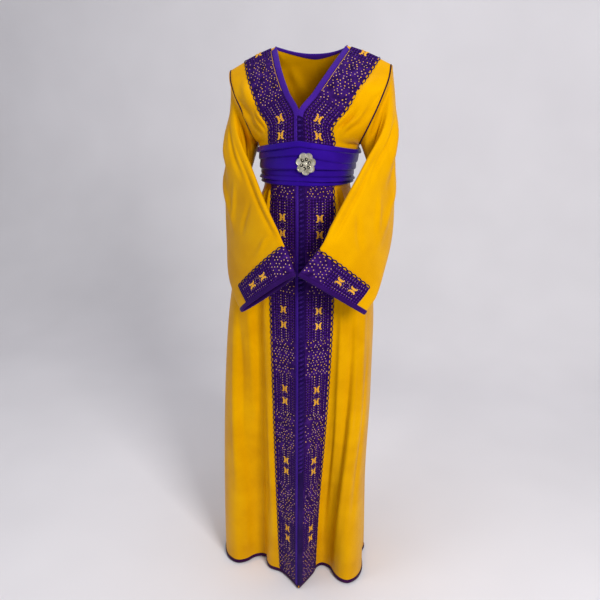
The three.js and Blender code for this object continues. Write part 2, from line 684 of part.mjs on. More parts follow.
function neckStations() {
  const vRow = ROWS.indexOf(AT_V_POINT);
  const down = (side) => {
    const sheet = fronts[side];
    const rows = ROWS.slice(0, vRow + 1).map((_, r) => r);
    const all = stationsAlong(
      sheet, rows.map((r) => [r, 0]), rows.map((r) => [r, BINDING_COLUMN]), BINDING_WIDTH);
    const last = all[vRow];
    const before = all[vRow - 1];
    last.edge = before.edge.clone().lerp(last.edge, NECK_BINDING_END);
    last.inside = before.inside.clone().lerp(last.inside, NECK_BINDING_END);
    return all;
  };
  const centre = backLast / 2;
  const nape = Array.from({ length: 2 * NECK_COLUMNS + 1 }, (_, i) => centre - NECK_COLUMNS + i);
  const round = stationsAlong(back, nape.map((c) => [0, c]), nape.map((c) => [1, c]), 2 * BINDING_WIDTH);
  const left = down('left').reverse();
  const right = down('right');
  const corner = (a, b) => ({
    edge: a.edge.clone(),
    inside: a.inside.clone().lerp(b.inside, 0.5),
    edgeNormal: a.edgeNormal.clone(),
    insideNormal: a.insideNormal.clone().add(b.insideNormal).normalize(),
  });
  const [first, last] = [round[0], round[round.length - 1]];
  return [...left, corner(left[left.length - 1], first), ...round, corner(last, right[0]), ...right];
}
addPiece('neck_binding', bindingRound(neckStations(), BINDING_WIDTH, false, 5, NECK_SLACK), 'binding');

// ---- hem binding: one tape from the opening round the back to the opening again ----

function hemStations() {
  const along = (sheet, columns) => {
    const bottom = sheet.points.length - 1;
    return stationsAlong(
      sheet, columns.map((c) => [bottom, c]), columns.map((c) => [bottom - 1, c]), 2 * HEM_BINDING);
  };
  const leftColumns = frontAll.slice(1);
  const backColumns = back.points[0].map((_, c) => c).slice(1, -1);
  const left = along(fronts.left, leftColumns);
  const right = along(fronts.right, leftColumns).reverse();
  const startOf = (side) => {
    const [edge, next] = along(fronts[side], [0, 1]);
    const share = OPENING_HALF_GAP / edge.edge.distanceTo(next.edge);
    return {
      edge: edge.edge.clone().lerp(next.edge, share),
      inside: edge.inside.clone().lerp(next.inside, share),
      edgeNormal: edge.edgeNormal.clone().lerp(next.edgeNormal, share),
      insideNormal: edge.insideNormal.clone().lerp(next.insideNormal, share),
    };
  };
  return [startOf('left'), ...left, ...along(back, backColumns), ...right, startOf('right')];
}
addPiece('hem_binding', bindingRound(hemStations(), HEM_BINDING, false, 7), 'binding');

// ---- armhole piping ----

function armholeStations(side) {
  const down = BODICE_ROWS.slice(0, -1).map((at) => ({ at, onBack: false }));
  const up = BODICE_ROWS.slice(1).reverse().map((at) => ({ at, onBack: true }));
  return [...down, ...up].map(({ at, onBack }) => {
    const row = BODICE_ROWS.indexOf(at) + (onBack ? 1 : 0);
    const sheet = onBack ? back : fronts[nameOf(side)];
    const backColumn = side === LEFT ? 0 : backLast;
    const c = onBack ? backColumn : frontAll.length - 1;
    return { point: sheet.points[row][c], normal: sheet.normals[row][c] };
  });
}

// The way the sleeve leaves its armhole: square to the armhole's own plane.
function armholeOut(side) {
  const top = armholePoint(side, 0, false);
  const underarm = armholePoint(side, 1, false);
  const chord = top.sub(underarm);
  return new THREE.Vector3(chord.z * side, 0, -Math.abs(chord.x)).normalize();
}

const pipingOffset = (station, out) => (
  PIPING_RADIUS + GAP + HALF * Math.abs(station.normal.dot(out)));

function pipingRing(side) {
  const out = armholeOut(side);
  const stations = armholeStations(side);
  const centres = stations.map((s) => s.point.clone().addScaledVector(out, pipingOffset(s, out)));
  const sections = centres.map((centre, i) => {
    const next = centres[(i + 1) % centres.length];
    const before = centres[(i + centres.length - 1) % centres.length];
    const along = next.clone().sub(before).normalize();
    const radial = out.clone().cross(along).normalize();
    return Array.from({ length: 6 }, (_, k) => {
      const turn = (Math.PI * 2 * k) / 6;
      return centre.clone()
        .addScaledVector(out, PIPING_RADIUS * Math.cos(turn))
        .addScaledVector(radial, PIPING_RADIUS * Math.sin(turn));
    });
  });
  return loft(sections, true);
}
addPiece('armhole_piping_left', pipingRing(LEFT), 'piping');
addPiece('armhole_piping_right', pipingRing(RIGHT), 'piping');

// ---- sleeves ----

function sleeveRing(side) {
  const out = armholeOut(side);
  return armholeStations(side).map((s) => {
    const distance = pipingOffset(s, out) + PIPING_RADIUS + 3 * GAP + HALF * Math.abs(s.normal.dot(out));
    return s.point.clone().addScaledVector(out, distance);
  });
}

function sleeveSheet(side) {
  const ring = sleeveRing(side);
  const half = ring.length / 2;
  const start = {
    at: 0, tx: ring[0].x, ty: ring[0].y, tz: ring[0].z,
    bx: ring[half].x, by: ring[half].y, bz: ring[half].z, inner: SLEEVE_HEAD, outer: SLEEVE_HEAD,
  };
  const table = [start, ...SLEEVES[nameOf(side)]];
  const upper = curveOf(table, ['tx', 'ty', 'tz']);
  const lower = curveOf(table, ['bx', 'by', 'bz']);
  const inner = column(table, 'inner');
  const outer = column(table, 'outer');
  const middle = (at) => upper(at).add(lower(at)).multiplyScalar(0.5);
  const last = table[table.length - 2].at;
  const length = upper(1).distanceTo(upper(last)) / (1 - last);
  const fromEnd = (distance) => 1 - distance / length;
  const rows = [...SLEEVE_ROWS, fromEnd(CUFF_BAND), fromEnd(CUFF_BAND / 2), fromEnd(CUFF_BINDING), 1];
  const points = rows.map((at) => {
    const axis = middle(Math.min(at + AXIS_STEP, 1)).sub(middle(Math.max(at - AXIS_STEP, 0)));
    const chord = upper(at).sub(lower(at)).multiplyScalar(0.5);
    const outward = axis.cross(chord).normalize().multiplyScalar(-side);
    const blend = THREE.MathUtils.smoothstep(at, 0, SLEEVE_BLEND);
    return ring.map((startPoint, k) => {
      const turn = (Math.PI * 2 * k) / ring.length;
      const swell = Math.sin(turn) > 0 ? -inner(at) : outer(at);
      const flat = middle(at)
        .addScaledVector(chord, Math.cos(turn))
        .addScaledVector(outward, swell * Math.abs(Math.sin(turn)));
      return startPoint.clone().lerp(flat, blend);
    });
  });
  return { points, flip: side === RIGHT, wrap: true };
}

for (const side of [LEFT, RIGHT]) {
  const name = nameOf(side);
  const sleeve = sleeveSheet(side);
  addNormals([sleeve]);
  const bottom = sleeve.points.length - 1;
  const count = sleeve.points[0].length;
  addPiece(`sleeve_${name}`, wall(inset(sleeve, { bottom: EDGE_INSET }), -HALF, HALF), 'satin');

  const order = Array.from({ length: 2 * CUFF_COLUMNS + 1 }, (_, i) => (i - CUFF_COLUMNS + count) % count);
  const pick = (rows) => rows.slice(bottom - 3, bottom).map((row) => order.map((c) => row[c]));
  const cuff = { ...sleeve, points: pick(sleeve.points), normals: pick(sleeve.normals), wrap: false };
  addPiece(`cuff_band_${name}`, wall(inset(cuff, { bottom: GAP }), TRIM_LOW, TRIM_HIGH), 'embroidery');

  const edge = sleeve.points[0].map((_, c) => [bottom, c]);
  const inside = sleeve.points[0].map((_, c) => [bottom - 1, c]);
  const stations = stationsAlong(sleeve, edge, inside, 2 * CUFF_BINDING);
  addPiece(`cuff_binding_${name}`, bindingRound(stations, CUFF_BINDING, true, 7), 'binding');
}

// ---- sash: a folded ring round the waist, over the fronts, the back and the bands ----

function sashSections() {
  const top = ROWS.indexOf(1);
  const end = ROWS.indexOf(AT_SASH_END);
  const columns = [
    ...frontAll.map((c) => [fronts.left, c]),
    ...back.points[0].map((_, c) => [back, c]).slice(1, -1),
    ...frontAll.slice(1).reverse().map((c) => [fronts.right, c]),
  ];
  return columns.map(([sheet, c], i) => {
    const extra = sheet === back ? 1 : 0;
    const line = sheet.points.slice(top + extra, end + extra + 1).map((row) => row[c]);
    const normals = sheet.normals.slice(top + extra, end + extra + 1).map((row) => row[c]);
    const place = (down, out) => {
      const step = down * (line.length - 1);
      const k = Math.min(Math.floor(step), line.length - 2);
      const normal = normals[k].clone().lerp(normals[k + 1], step - k).normalize();
      return line[k].clone().lerp(line[k + 1], step - k).addScaledVector(normal, out);
    };
    const toSide = Math.min(1, Math.abs(line[0].x) / Math.abs(SIDE_SEAM[0].left)) ** 2;
    const topShare = THREE.MathUtils.lerp(SASH_START.front, SASH_START.side, toSide ** 2);
    const share = (down) => THREE.MathUtils.lerp(topShare, SASH_STOP, down);
    const outside = SASH_FOLDS.map(({ down, out }, k) => {
      const free = k > 0 && k < SASH_FOLDS.length - 1;
      const sway = free ? SASH_SWAY * Math.sin((2 * Math.PI * i * (1 + (k % 3))) / columns.length + k) : 0;
      return place(share(down), SASH_LOW + out + sway);
    });
    const inside = [1, 2 / 3, 1 / 3, 0].map((down) => place(share(down), SASH_LOW));
    return [...outside, ...inside];
  });
}
const sashStations = sashSections();
addPiece('sash', loft(sashStations, true), 'sash');

// ---- brooch: six curled petals round a boss, over a ring of outer leaves ----

// sizes as shares of the brooch's half width, half height and depth, but for radius, back and turn
const BOSS = { radius: 5, depth: 0.7 };
const CURL = { radius: 0.21, wire: 0.08, out: 0.47 };
const LEAF = { across: 0.25, along: 0.2, depth: 0.45, out: 0.79, back: 1, turn: 0.5 };

function broochGeometry() {
  const { halfWidth: w, halfHeight: h, petals, depth } = BROOCH;
  const parts = [];
  const boss = new THREE.SphereGeometry(1, 6, 4);
  boss.scale(BOSS.radius, BOSS.depth * depth, BOSS.radius);
  parts.push(boss);
  for (let i = 0; i < petals; i += 1) {
    const turn = (2 * Math.PI * i) / petals;
    const curl = new THREE.TorusGeometry(CURL.radius * h, CURL.wire * h, 4, 8);
    curl.rotateX(Math.PI / 2);
    curl.translate(CURL.out * w * Math.sin(turn), 0, CURL.out * h * Math.cos(turn));
    parts.push(curl);
    const leaf = new THREE.SphereGeometry(1, 5, 3);
    leaf.scale(LEAF.across * w, LEAF.depth * depth, LEAF.along * h);
    leaf.rotateY(turn + Math.PI / petals);
    const lean = turn + LEAF.turn;
    leaf.translate(LEAF.out * w * Math.sin(lean), LEAF.back, LEAF.out * h * Math.cos(lean));
    parts.push(leaf);
  }
  return fused(parts);
}

const BEHIND = 1.3;             // the sash is looked at this much further out than the brooch reaches
const behindBrooch = sashStations.flat().filter((p) => (
  Math.abs(p.x - BROOCH.x) < BEHIND * BROOCH.halfWidth
  && Math.abs(p.z - BROOCH.z) < BEHIND * BROOCH.halfHeight));
const sashFront = Math.min(...behindBrooch.map((p) => p.y));
const brooch = broochGeometry();
brooch.computeBoundingBox();
brooch.translate(BROOCH.x, sashFront - GAP - brooch.boundingBox.max.y, BROOCH.z);
addPiece('brooch', brooch, 'silver');

export default caftan;
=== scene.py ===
# A long caftan with a draped sash and a brooch: Blender 4.5, metres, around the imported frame.
# Lengths in the tables are millimetres. LEFT is -X and RIGHT is +X, as seen from the front.
import math
import bpy
import bmesh
import numpy as np
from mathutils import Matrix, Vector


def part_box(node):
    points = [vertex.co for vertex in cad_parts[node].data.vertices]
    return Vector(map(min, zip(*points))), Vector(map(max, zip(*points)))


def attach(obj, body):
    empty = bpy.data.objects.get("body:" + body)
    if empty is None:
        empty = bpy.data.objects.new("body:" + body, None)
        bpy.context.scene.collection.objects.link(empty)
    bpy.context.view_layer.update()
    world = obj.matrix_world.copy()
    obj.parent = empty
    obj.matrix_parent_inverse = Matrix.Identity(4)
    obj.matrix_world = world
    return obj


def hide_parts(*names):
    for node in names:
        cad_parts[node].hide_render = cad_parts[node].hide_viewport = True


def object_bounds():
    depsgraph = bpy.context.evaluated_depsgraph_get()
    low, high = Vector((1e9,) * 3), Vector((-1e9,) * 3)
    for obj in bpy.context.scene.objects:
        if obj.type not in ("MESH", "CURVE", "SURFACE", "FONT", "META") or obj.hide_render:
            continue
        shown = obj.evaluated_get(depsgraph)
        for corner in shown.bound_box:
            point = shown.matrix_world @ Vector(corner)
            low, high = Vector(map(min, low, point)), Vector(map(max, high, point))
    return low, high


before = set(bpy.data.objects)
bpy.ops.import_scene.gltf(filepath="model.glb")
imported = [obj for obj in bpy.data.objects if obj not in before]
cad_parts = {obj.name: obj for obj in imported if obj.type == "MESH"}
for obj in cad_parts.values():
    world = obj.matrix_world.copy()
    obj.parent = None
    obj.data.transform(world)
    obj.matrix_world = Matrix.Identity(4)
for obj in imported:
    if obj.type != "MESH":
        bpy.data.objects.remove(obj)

CAD_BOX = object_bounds()
RNG = np.random.default_rng(7)
LEFT, RIGHT = -1, 1
SIDES = {"left": LEFT, "right": RIGHT}
TAU = 2 * math.pi

# ---- driving dimensions, mm, as in the part ----
TRIM_HIGH = 2.9             # top of the embroidered bands, over the cloth's middle
BINDING_WIDTH = 12
BAND_WIDTH = 82
HEM_Z = -1430
HEM_BINDING = 9
CUFF_BINDING = 10
CUFF_BAND = 72
PIPING_RADIUS = 1.5
SHOULDER_RISE = 3
QUARTER_ARC = 0.5523
AT_V_POINT, AT_SASH_END = 0.82, 1.09
BROOCH_X, BROOCH_Z = 22, -262
BUTTON_PITCH = 12.5
LOWEST_BUTTON = -1062
RIB_PITCH = 7.0
SKIRT_RUN = 1210            # cloth from the underarm row to the hem

# ---- this model's own dimensions, mm ----
SATIN_HALF = 0.7            # the satin is drawn thinner than the part's wall
TRIM_UNDER = 0.9            # where the embroidery's own wall begins, over the satin
BAND_MIDDLE = 47            # the front band's middle, from the edge
CUFF_MIDDLE = 31
DOT_LIFT = TRIM_HIGH - 0.4
SPECK_LIFT = TRIM_HIGH - 0.35
MOTIF_LIFT = TRIM_HIGH - 0.3
PICOT_PITCH = 15.0
STITCH_PITCH, STITCH_LIFT = 4.0, 2.2
CREASE_GAIN = 2.4           # over the heights in CREASES
SASH_HEIGHT = 105           # as worn

# (at, opening's half width, drift, y, z); (at, x, y, z); (at, left x, right x, y, z)
FRONT_EDGE = [
    (0, 88, 0, 0, 2), (0.31, 59, 1, -60, -53), (0.6, 30, 2, -99, -104), (AT_V_POINT, 0, 3, -123, -153),
    (1, 0, 4, -124, -205), (1.045, 0, 5, -118, -260), (AT_SASH_END, 0, 5, -117, -318),
    (1.16, 0, 7, -123, -400), (1.27, 0, 9, -131, -530), (1.42, 0, 13, -142, -715),
    (1.58, 0, 17, -155, -915), (1.82, 0, 20, -172, -1210), (2, 0, 20, -190, HEM_Z),
]
BACK_CENTRE = [
    (0, 0, 50, -14), (0.1, 0, 62, -34), (0.31, 0, 86, -80), (0.64, 0, 98, -150), (1, 0, 88, -222),
    (AT_SASH_END, -4, 84, -320), (1.16, -6, 104, -402), (1.27, -10, 124, -532), (1.42, -16, 138, -716),
    (1.58, -24, 150, -916), (1.82, -36, 166, -1210), (2, -38, 178, HEM_Z),
]
SIDE_SEAM = [
    (1, -130, 126, 0, -222), (1.045, -121, 112, 0, -270), (AT_SASH_END, -115, 102, 0, -320),
    (1.16, -146, 132, 0, -402), (1.27, -188, 162, 0, -532), (1.42, -216, 178, 0, -716),
    (1.58, -230, 178, -2, -916), (1.82, -244, 158, -6, -1210), (2, -250, 166, -15, HEM_Z),
]
ARMHOLES = {
    LEFT: [
        (-203, 0, -50), (-198, -21, -72), (-180, -42, -110), (-157, -58, -146), (-140, -58, -186),
        (-131, -34, -215), (-130, 0, -222), (-139, 35, -208), (-158, 56, -174), (-178, 54, -128),
        (-195, 29, -80),
    ],
    RIGHT: [
        (193, 0, -40), (192, -22, -70), (183, -44, -106), (169, -60, -145), (149, -60, -187),
        (131, -34, -216), (126, 0, -222), (136, 35, -208), (157, 56, -172), (177, 54, -124),
        (190, 29, -72),
    ],
}
HEM_FOLDS = {
    LEFT: [
        (20, -190), (-14, -160), (-46, -139), (-82, -131), (-97, -112), (-104, -91), (-123, -88),
        (-142, -100), (-158, -122), (-182, -135), (-213, -122), (-238, -82), (-250, -15),
    ],
    RIGHT: [
        (20, -190), (33, -155), (44, -120), (49, -93), (63, -81), (88, -89), (107, -115), (127, -131),
        (148, -134), (168, -114), (177, -74), (166, -15),
    ],
}
SLEEVES = {
    LEFT: [
        (0.1, -203, -15, -108, -152, 7, -276, 40, 46), (0.22, -188, -40, -169, -177, 9, -336, 25, 40),
        (0.36, -156, -80, -231, -204, 0, -402, 14, 34),
        (0.48, -123, -110, -285, -214, -18, -460, 12, 28),
        (0.6, -92, -140, -333, -208, -50, -508, 12, 22),
        (0.71, -58, -170, -381, -194, -92, -548, 12, 18),
        (0.87, -9, -205, -447, -158, -152, -592, 10, 14), (1, 22, -230, -506, -122, -199, -616, 9, 12),
    ],
    RIGHT: [
        (0.12, 204, -15, -106, 158, 3, -284, 38, 40), (0.21, 203, -40, -152, 175, 0, -323, 26, 34),
        (0.3, 191, -65, -193, 191, -5, -361, 18, 30), (0.44, 164, -105, -255, 211, -15, -418, 12, 26),
        (0.55, 143, -135, -305, 215, -43, -459, 12, 22),
        (0.74, 105, -190, -391, 209, -103, -523, 12, 18),
        (0.87, 74, -215, -448, 201, -140, -566, 10, 14), (1, 32, -232, -505, 178, -175, -604, 9, 12),
    ],
}
SLEEVE_BLEND = 0.32
SLEEVE_HEAD = 55
BACK_HALF = 66              # columns from the back's middle to its side seam
BODICE = [0, 0.1, 0.2, 0.31, 0.42, 0.53, 0.64, 0.73, AT_V_POINT, 0.91, 1]


# ---- curves ----

def slopes(knots, values):
    d = np.diff(values, axis=0) / np.diff(knots).reshape(-1, *[1] * (values.ndim - 1))
    m = np.zeros_like(values)
    a, b = d[:-1], d[1:]
    same = a * b > 0
    m[1:-1] = np.where(same, 2 * a * b / np.where(same, a + b, 1), 0)
    m[0], m[-1] = d[0], d[-1]
    return m


def spline(knots, values, new):
    """A smooth curve through rows of values, with no overshoot between them."""
    knots = np.asarray(knots, float)
    values = np.asarray(values, float)
    new = np.asarray(new, float)
    m = slopes(knots, values)
    i = np.clip(np.searchsorted(knots, new) - 1, 0, len(knots) - 2)
    h = (knots[i + 1] - knots[i])
    s = (new - knots[i]) / h
    shape = (-1,) + (1,) * (values.ndim - 1)
    h, s = h.reshape(shape), s.reshape(shape)
    a, b, c, d = 2 * s**3 - 3 * s**2 + 1, s**3 - 2 * s**2 + s, 3 * s**2 - 2 * s**3, s**3 - s**2
    return a * values[i] + b * h * m[i] + c * values[i + 1] + d * h * m[i + 1]


def table(rows, at, *names):
    rows = np.array(rows, float)
    return spline(rows[:, 0], rows[:, list(names)], at)


def through(points, t, closed):
    """Centripetal curve through points, at parameters t from 0 to 1."""
    p = np.array([q if len(q) == 3 else (q[0], q[1], HEM_Z) for q in points], float)
    n = len(p)
    if closed:
        ext = np.vstack([p[-1:], p, p[:2]])
        u = (np.asarray(t, float) % 1) * n
    else:
        ext = np.vstack([2 * p[0] - p[1], p, 2 * p[-1] - p[-2]])
        u = np.asarray(t, float) * (n - 1)
    i = np.clip(np.floor(u).astype(int), 0, len(ext) - 4)
    w = (u - i)[:, None]
    p0, p1, p2, p3 = ext[i], ext[i + 1], ext[i + 2], ext[i + 3]
    dt = [np.maximum(np.linalg.norm(b - a, axis=1), 1e-6)[:, None] ** 0.5
          for a, b in ((p0, p1), (p1, p2), (p2, p3))]
    t1 = ((p1 - p0) / dt[0] - (p2 - p0) / (dt[0] + dt[1]) + (p2 - p1) / dt[1]) * dt[1]
    t2 = ((p2 - p1) / dt[1] - (p3 - p1) / (dt[1] + dt[2]) + (p3 - p2) / dt[2]) * dt[1]
    return p1 + t1 * w + (3 * (p2 - p1) - 2 * t1 - t2) * w**2 + (2 * (p1 - p2) + t1 + t2) * w**3


def unit(v):
    return v / np.maximum(np.linalg.norm(v, axis=-1, keepdims=True), 1e-9)


def along(lines, distances):
    """Points of each row's polyline at the given distances: (rows, points, 3)."""
    out = np.empty((len(lines), distances.shape[-1], 3))
    for r, line in enumerate(lines):
        run = run_of(line)
        want = distances if distances.ndim == 1 else distances[r]
        for k in range(3):
            out[r, :, k] = np.interp(want, run, line[:, k])
    return out


def run_of(line):
    """Distances of a polyline's points from its start."""
    return np.concatenate([[0], np.cumsum(np.linalg.norm(np.diff(line, axis=0), axis=1))])


def widths_of(grid):
    """Distances of each row's points from its first one."""
    return np.cumsum(np.pad(np.linalg.norm(np.diff(grid, axis=1), axis=2), ((0, 0), (1, 0))), axis=1)


def length_of(lines):
    return np.linalg.norm(np.diff(lines, axis=-2), axis=-1).sum(-1)


def evenly(lines, count):
    """Each row's polyline, cut in equal steps."""
    return along(lines, length_of(lines)[:, None] * np.linspace(0, 1, count + 1))


# ---- the garment's surfaces, from the same tables as the part ----

def edge_points(side, at):
    v = table(FRONT_EDGE, at, 1, 2, 3, 4)
    return np.stack([v[:, 1] + side * v[:, 0], v[:, 2], v[:, 3]], 1)


def armhole(side, at, on_back):
    loop = ARMHOLES[side]
    under = 6 / len(loop)
    return through(loop, (1 - at * (1 - under)) % 1 if on_back else at * under, True)


def oval_rows(centre, outer, lift):
    t = np.linspace(0, 1, 121)
    a, b, c, d = (1 - t)**3, 3 * t * (1 - t)**2, 3 * t * t * (1 - t), t**3
    reach = (outer[:, 0] - centre[:, 0])[:, None]
    depth = (centre[:, 1] - outer[:, 1])[:, None]
    cx, cy, cz = (centre[:, k:k + 1] for k in range(3))
    ox, oy, oz = (outer[:, k:k + 1] for k in range(3))
    x = a * cx + b * (cx + QUARTER_ARC * reach) + (c + d) * ox
    y = (a + b) * cy + c * (oy + QUARTER_ARC * depth) + d * oy
    share = (x - cx) / reach
    z = cz + (oz - cz) * share + lift[:, None] * np.sin(math.pi * share)
    return np.stack([x, y, z], 2)


def lift_of(at):
    return SHOULDER_RISE * np.maximum(0, 1 - at / 0.2)


def growth_of(at):
    return np.maximum(0, (at - AT_SASH_END) / (2 - AT_SASH_END)) ** 1.1


def outer_points(side, at, on_back):
    hole = armhole(side, np.minimum(at, 1), on_back)
    seam = table(SIDE_SEAM, np.maximum(at, 1), 1 if side == LEFT else 2, 3, 4)
    return np.where(at[:, None] <= 1, hole, seam)


def front_rows(side, at):
    rows = oval_rows(edge_points(side, at), outer_points(side, at, False), lift_of(at))
    even = evenly(rows, rows.shape[1] - 1)
    fold = evenly(through(HEM_FOLDS[side], np.linspace(0, 1, 400), False)[None], rows.shape[1] - 1)[0]
    g = growth_of(at)[:, None]
    low = at > AT_SASH_END
    rows[low] = even[low]
    for k in (0, 1):
        rows[..., k] += np.where(low[:, None], g * (fold[None, :, k] - rows[..., k]), 0)
    return rows


def back_rows(side, at):
    low = at > 1
    outer = outer_points(side, at, True)
    outer[low] = front_rows(side, at[low])[:, -1] if low.any() else outer[low]
    rows = oval_rows(table(BACK_CENTRE, at, 1, 2, 3), outer, lift_of(at))
    share = np.linspace(0, 1, rows.shape[1])
    wave = np.cos(math.pi * 7 * share) * (1 - share**4)
    out = 13 * growth_of(at)[:, None] * wave
    away = rows * [1, 1, 0]
    away /= np.linalg.norm(away, axis=2, keepdims=True)
    return rows + away * out[..., None]


def stations(parts):
    """Row parameters: each stretch (from, to, steps) cut evenly."""
    out = [parts[0][0]]
    for low, high, steps in parts:
        out += list(np.linspace(low, high, steps + 1)[1:])
    return np.array(out)


BODY_ROWS = stations([(0, 0.31, 16), (0.31, AT_V_POINT, 22), (AT_V_POINT, 1, 8), (1, AT_SASH_END, 16),
                      (AT_SASH_END, 1.2, 16), (1.2, 2, 64)])


def normals_of(points, flip, wrap=False):
    """Unit directions square to a grid of points, outward for the right flip, 1 or -1."""
    down = np.gradient(points, axis=0)
    if wrap:
        across = np.roll(points, -1, axis=1) - np.roll(points, 1, axis=1)
    else:
        across = np.gradient(points, axis=1)
    return unit(np.cross(down, across) * flip)


def front_grid(side, at=BODY_ROWS, s=None):
    """The front panel: (rows, columns) with the first columns at fixed distances from its edge."""
    rows = front_rows(side, at)
    total = length_of(rows)
    if s is None:
        near = np.linspace(0, BAND_WIDTH, 13)
        rest = np.linspace(0, 1, 62)[1:]
        s = np.hstack([np.tile(near, (len(rows), 1)),
                       BAND_WIDTH + (total - BAND_WIDTH)[:, None] * rest[None]])
    points = along(rows, s)
    return points, normals_of(points, side), s


def back_grid(at=BODY_ROWS):
    """The back: both halves, from the left side seam to the right one."""
    halves = []
    for side in (LEFT, RIGHT):
        rows = evenly(back_rows(side, at), BACK_HALF)
        nape = np.array(BACK_CENTRE[0][1:], float)
        neck = edge_points(side, np.array([0.0]))[0]
        turn = np.linspace(0, math.pi / 2, 25)[:, None]
        curve = np.hstack([nape[0] + (neck[0] - nape[0]) * np.sin(turn),
                           neck[1] + (nape[1] - neck[1]) * np.cos(turn),
                           nape[2] + (neck[2] - nape[2]) * np.sin(turn)**2])
        seam = evenly(front_rows(side, np.array([0.0])), 42)[0]
        top = np.vstack([curve[:-1], seam])
        firm = at >= 0.1
        keys = evenly(back_rows(side, np.array([0.1, 0.2, 0.31])), BACK_HALF)
        rows[~firm] = spline([0, 0.1, 0.2, 0.31], np.concatenate([top[None], keys]), at[~firm])
        halves.append(rows)
    points = np.concatenate([halves[0][:, :0:-1], halves[1]], axis=1)
    return points, normals_of(points, -1)


def armhole_ring(side, count):
    j = np.arange(count) * 20 / count
    at_down = np.interp(j, range(11), BODICE)
    at_up = np.interp(20 - j, range(11), BODICE)
    ring = np.where((j <= 10)[:, None], armhole(side, at_down, False), armhole(side, at_up, True))
    chord = armhole(side, np.array([0.0]), False)[0] - armhole(side, np.array([1.0]), False)[0]
    out = np.array([chord[2] * side, 0, -abs(chord[0])])
    return ring, out / np.linalg.norm(out)


def sleeve_tables(side):
    ring, out = armhole_ring(side, 120)
    ring = ring + out * 5.0
    start = (0, *ring[0], *ring[60], SLEEVE_HEAD, SLEEVE_HEAD)
    return ring, [start] + list(SLEEVES[side])


def sleeve_length(rows):
    a, b = np.array(rows[-2]), np.array(rows[-1])
    return np.linalg.norm(b[1:4] - a[1:4]) / (b[0] - a[0])


def sleeve_grid(side, at, turn):
    """The sleeve, round from its upper fold: turn runs 0 to 1 over the front layer and back."""
    ring, rows = sleeve_tables(side)
    value = table(rows, at, 1, 2, 3, 4, 5, 6, 7, 8)
    upper, lower = value[:, :3], value[:, 3:6]

    def middle(t):
        v = table(rows, np.clip(t, 0, 1), 1, 2, 3, 4, 5, 6)
        return (v[:, :3] + v[:, 3:]) / 2

    axis = middle(at + 0.02) - middle(at - 0.02)
    chord = (upper - lower) / 2
    outward = np.cross(axis, chord)
    outward *= -side / np.linalg.norm(outward, axis=1, keepdims=True)
    angle = TAU * turn
    swell = np.where(np.sin(angle)[None] > 0, -value[:, 6:7], value[:, 7:8])
    flat = (middle(at)[:, None] + chord[:, None] * np.cos(angle)[None, :, None]
            + outward[:, None] * (swell * np.abs(np.sin(angle))[None])[..., None])
    k = (turn % 1) * 120
    i = np.floor(k).astype(int) % 120
    head = ring[i] + (ring[(i + 1) % 120] - ring[i]) * (k - np.floor(k))[:, None]
    b = np.clip(at / SLEEVE_BLEND, 0, 1)
    b = (b * b * (3 - 2 * b))[:, None, None]
    return head[None] * (1 - b) + flat * b


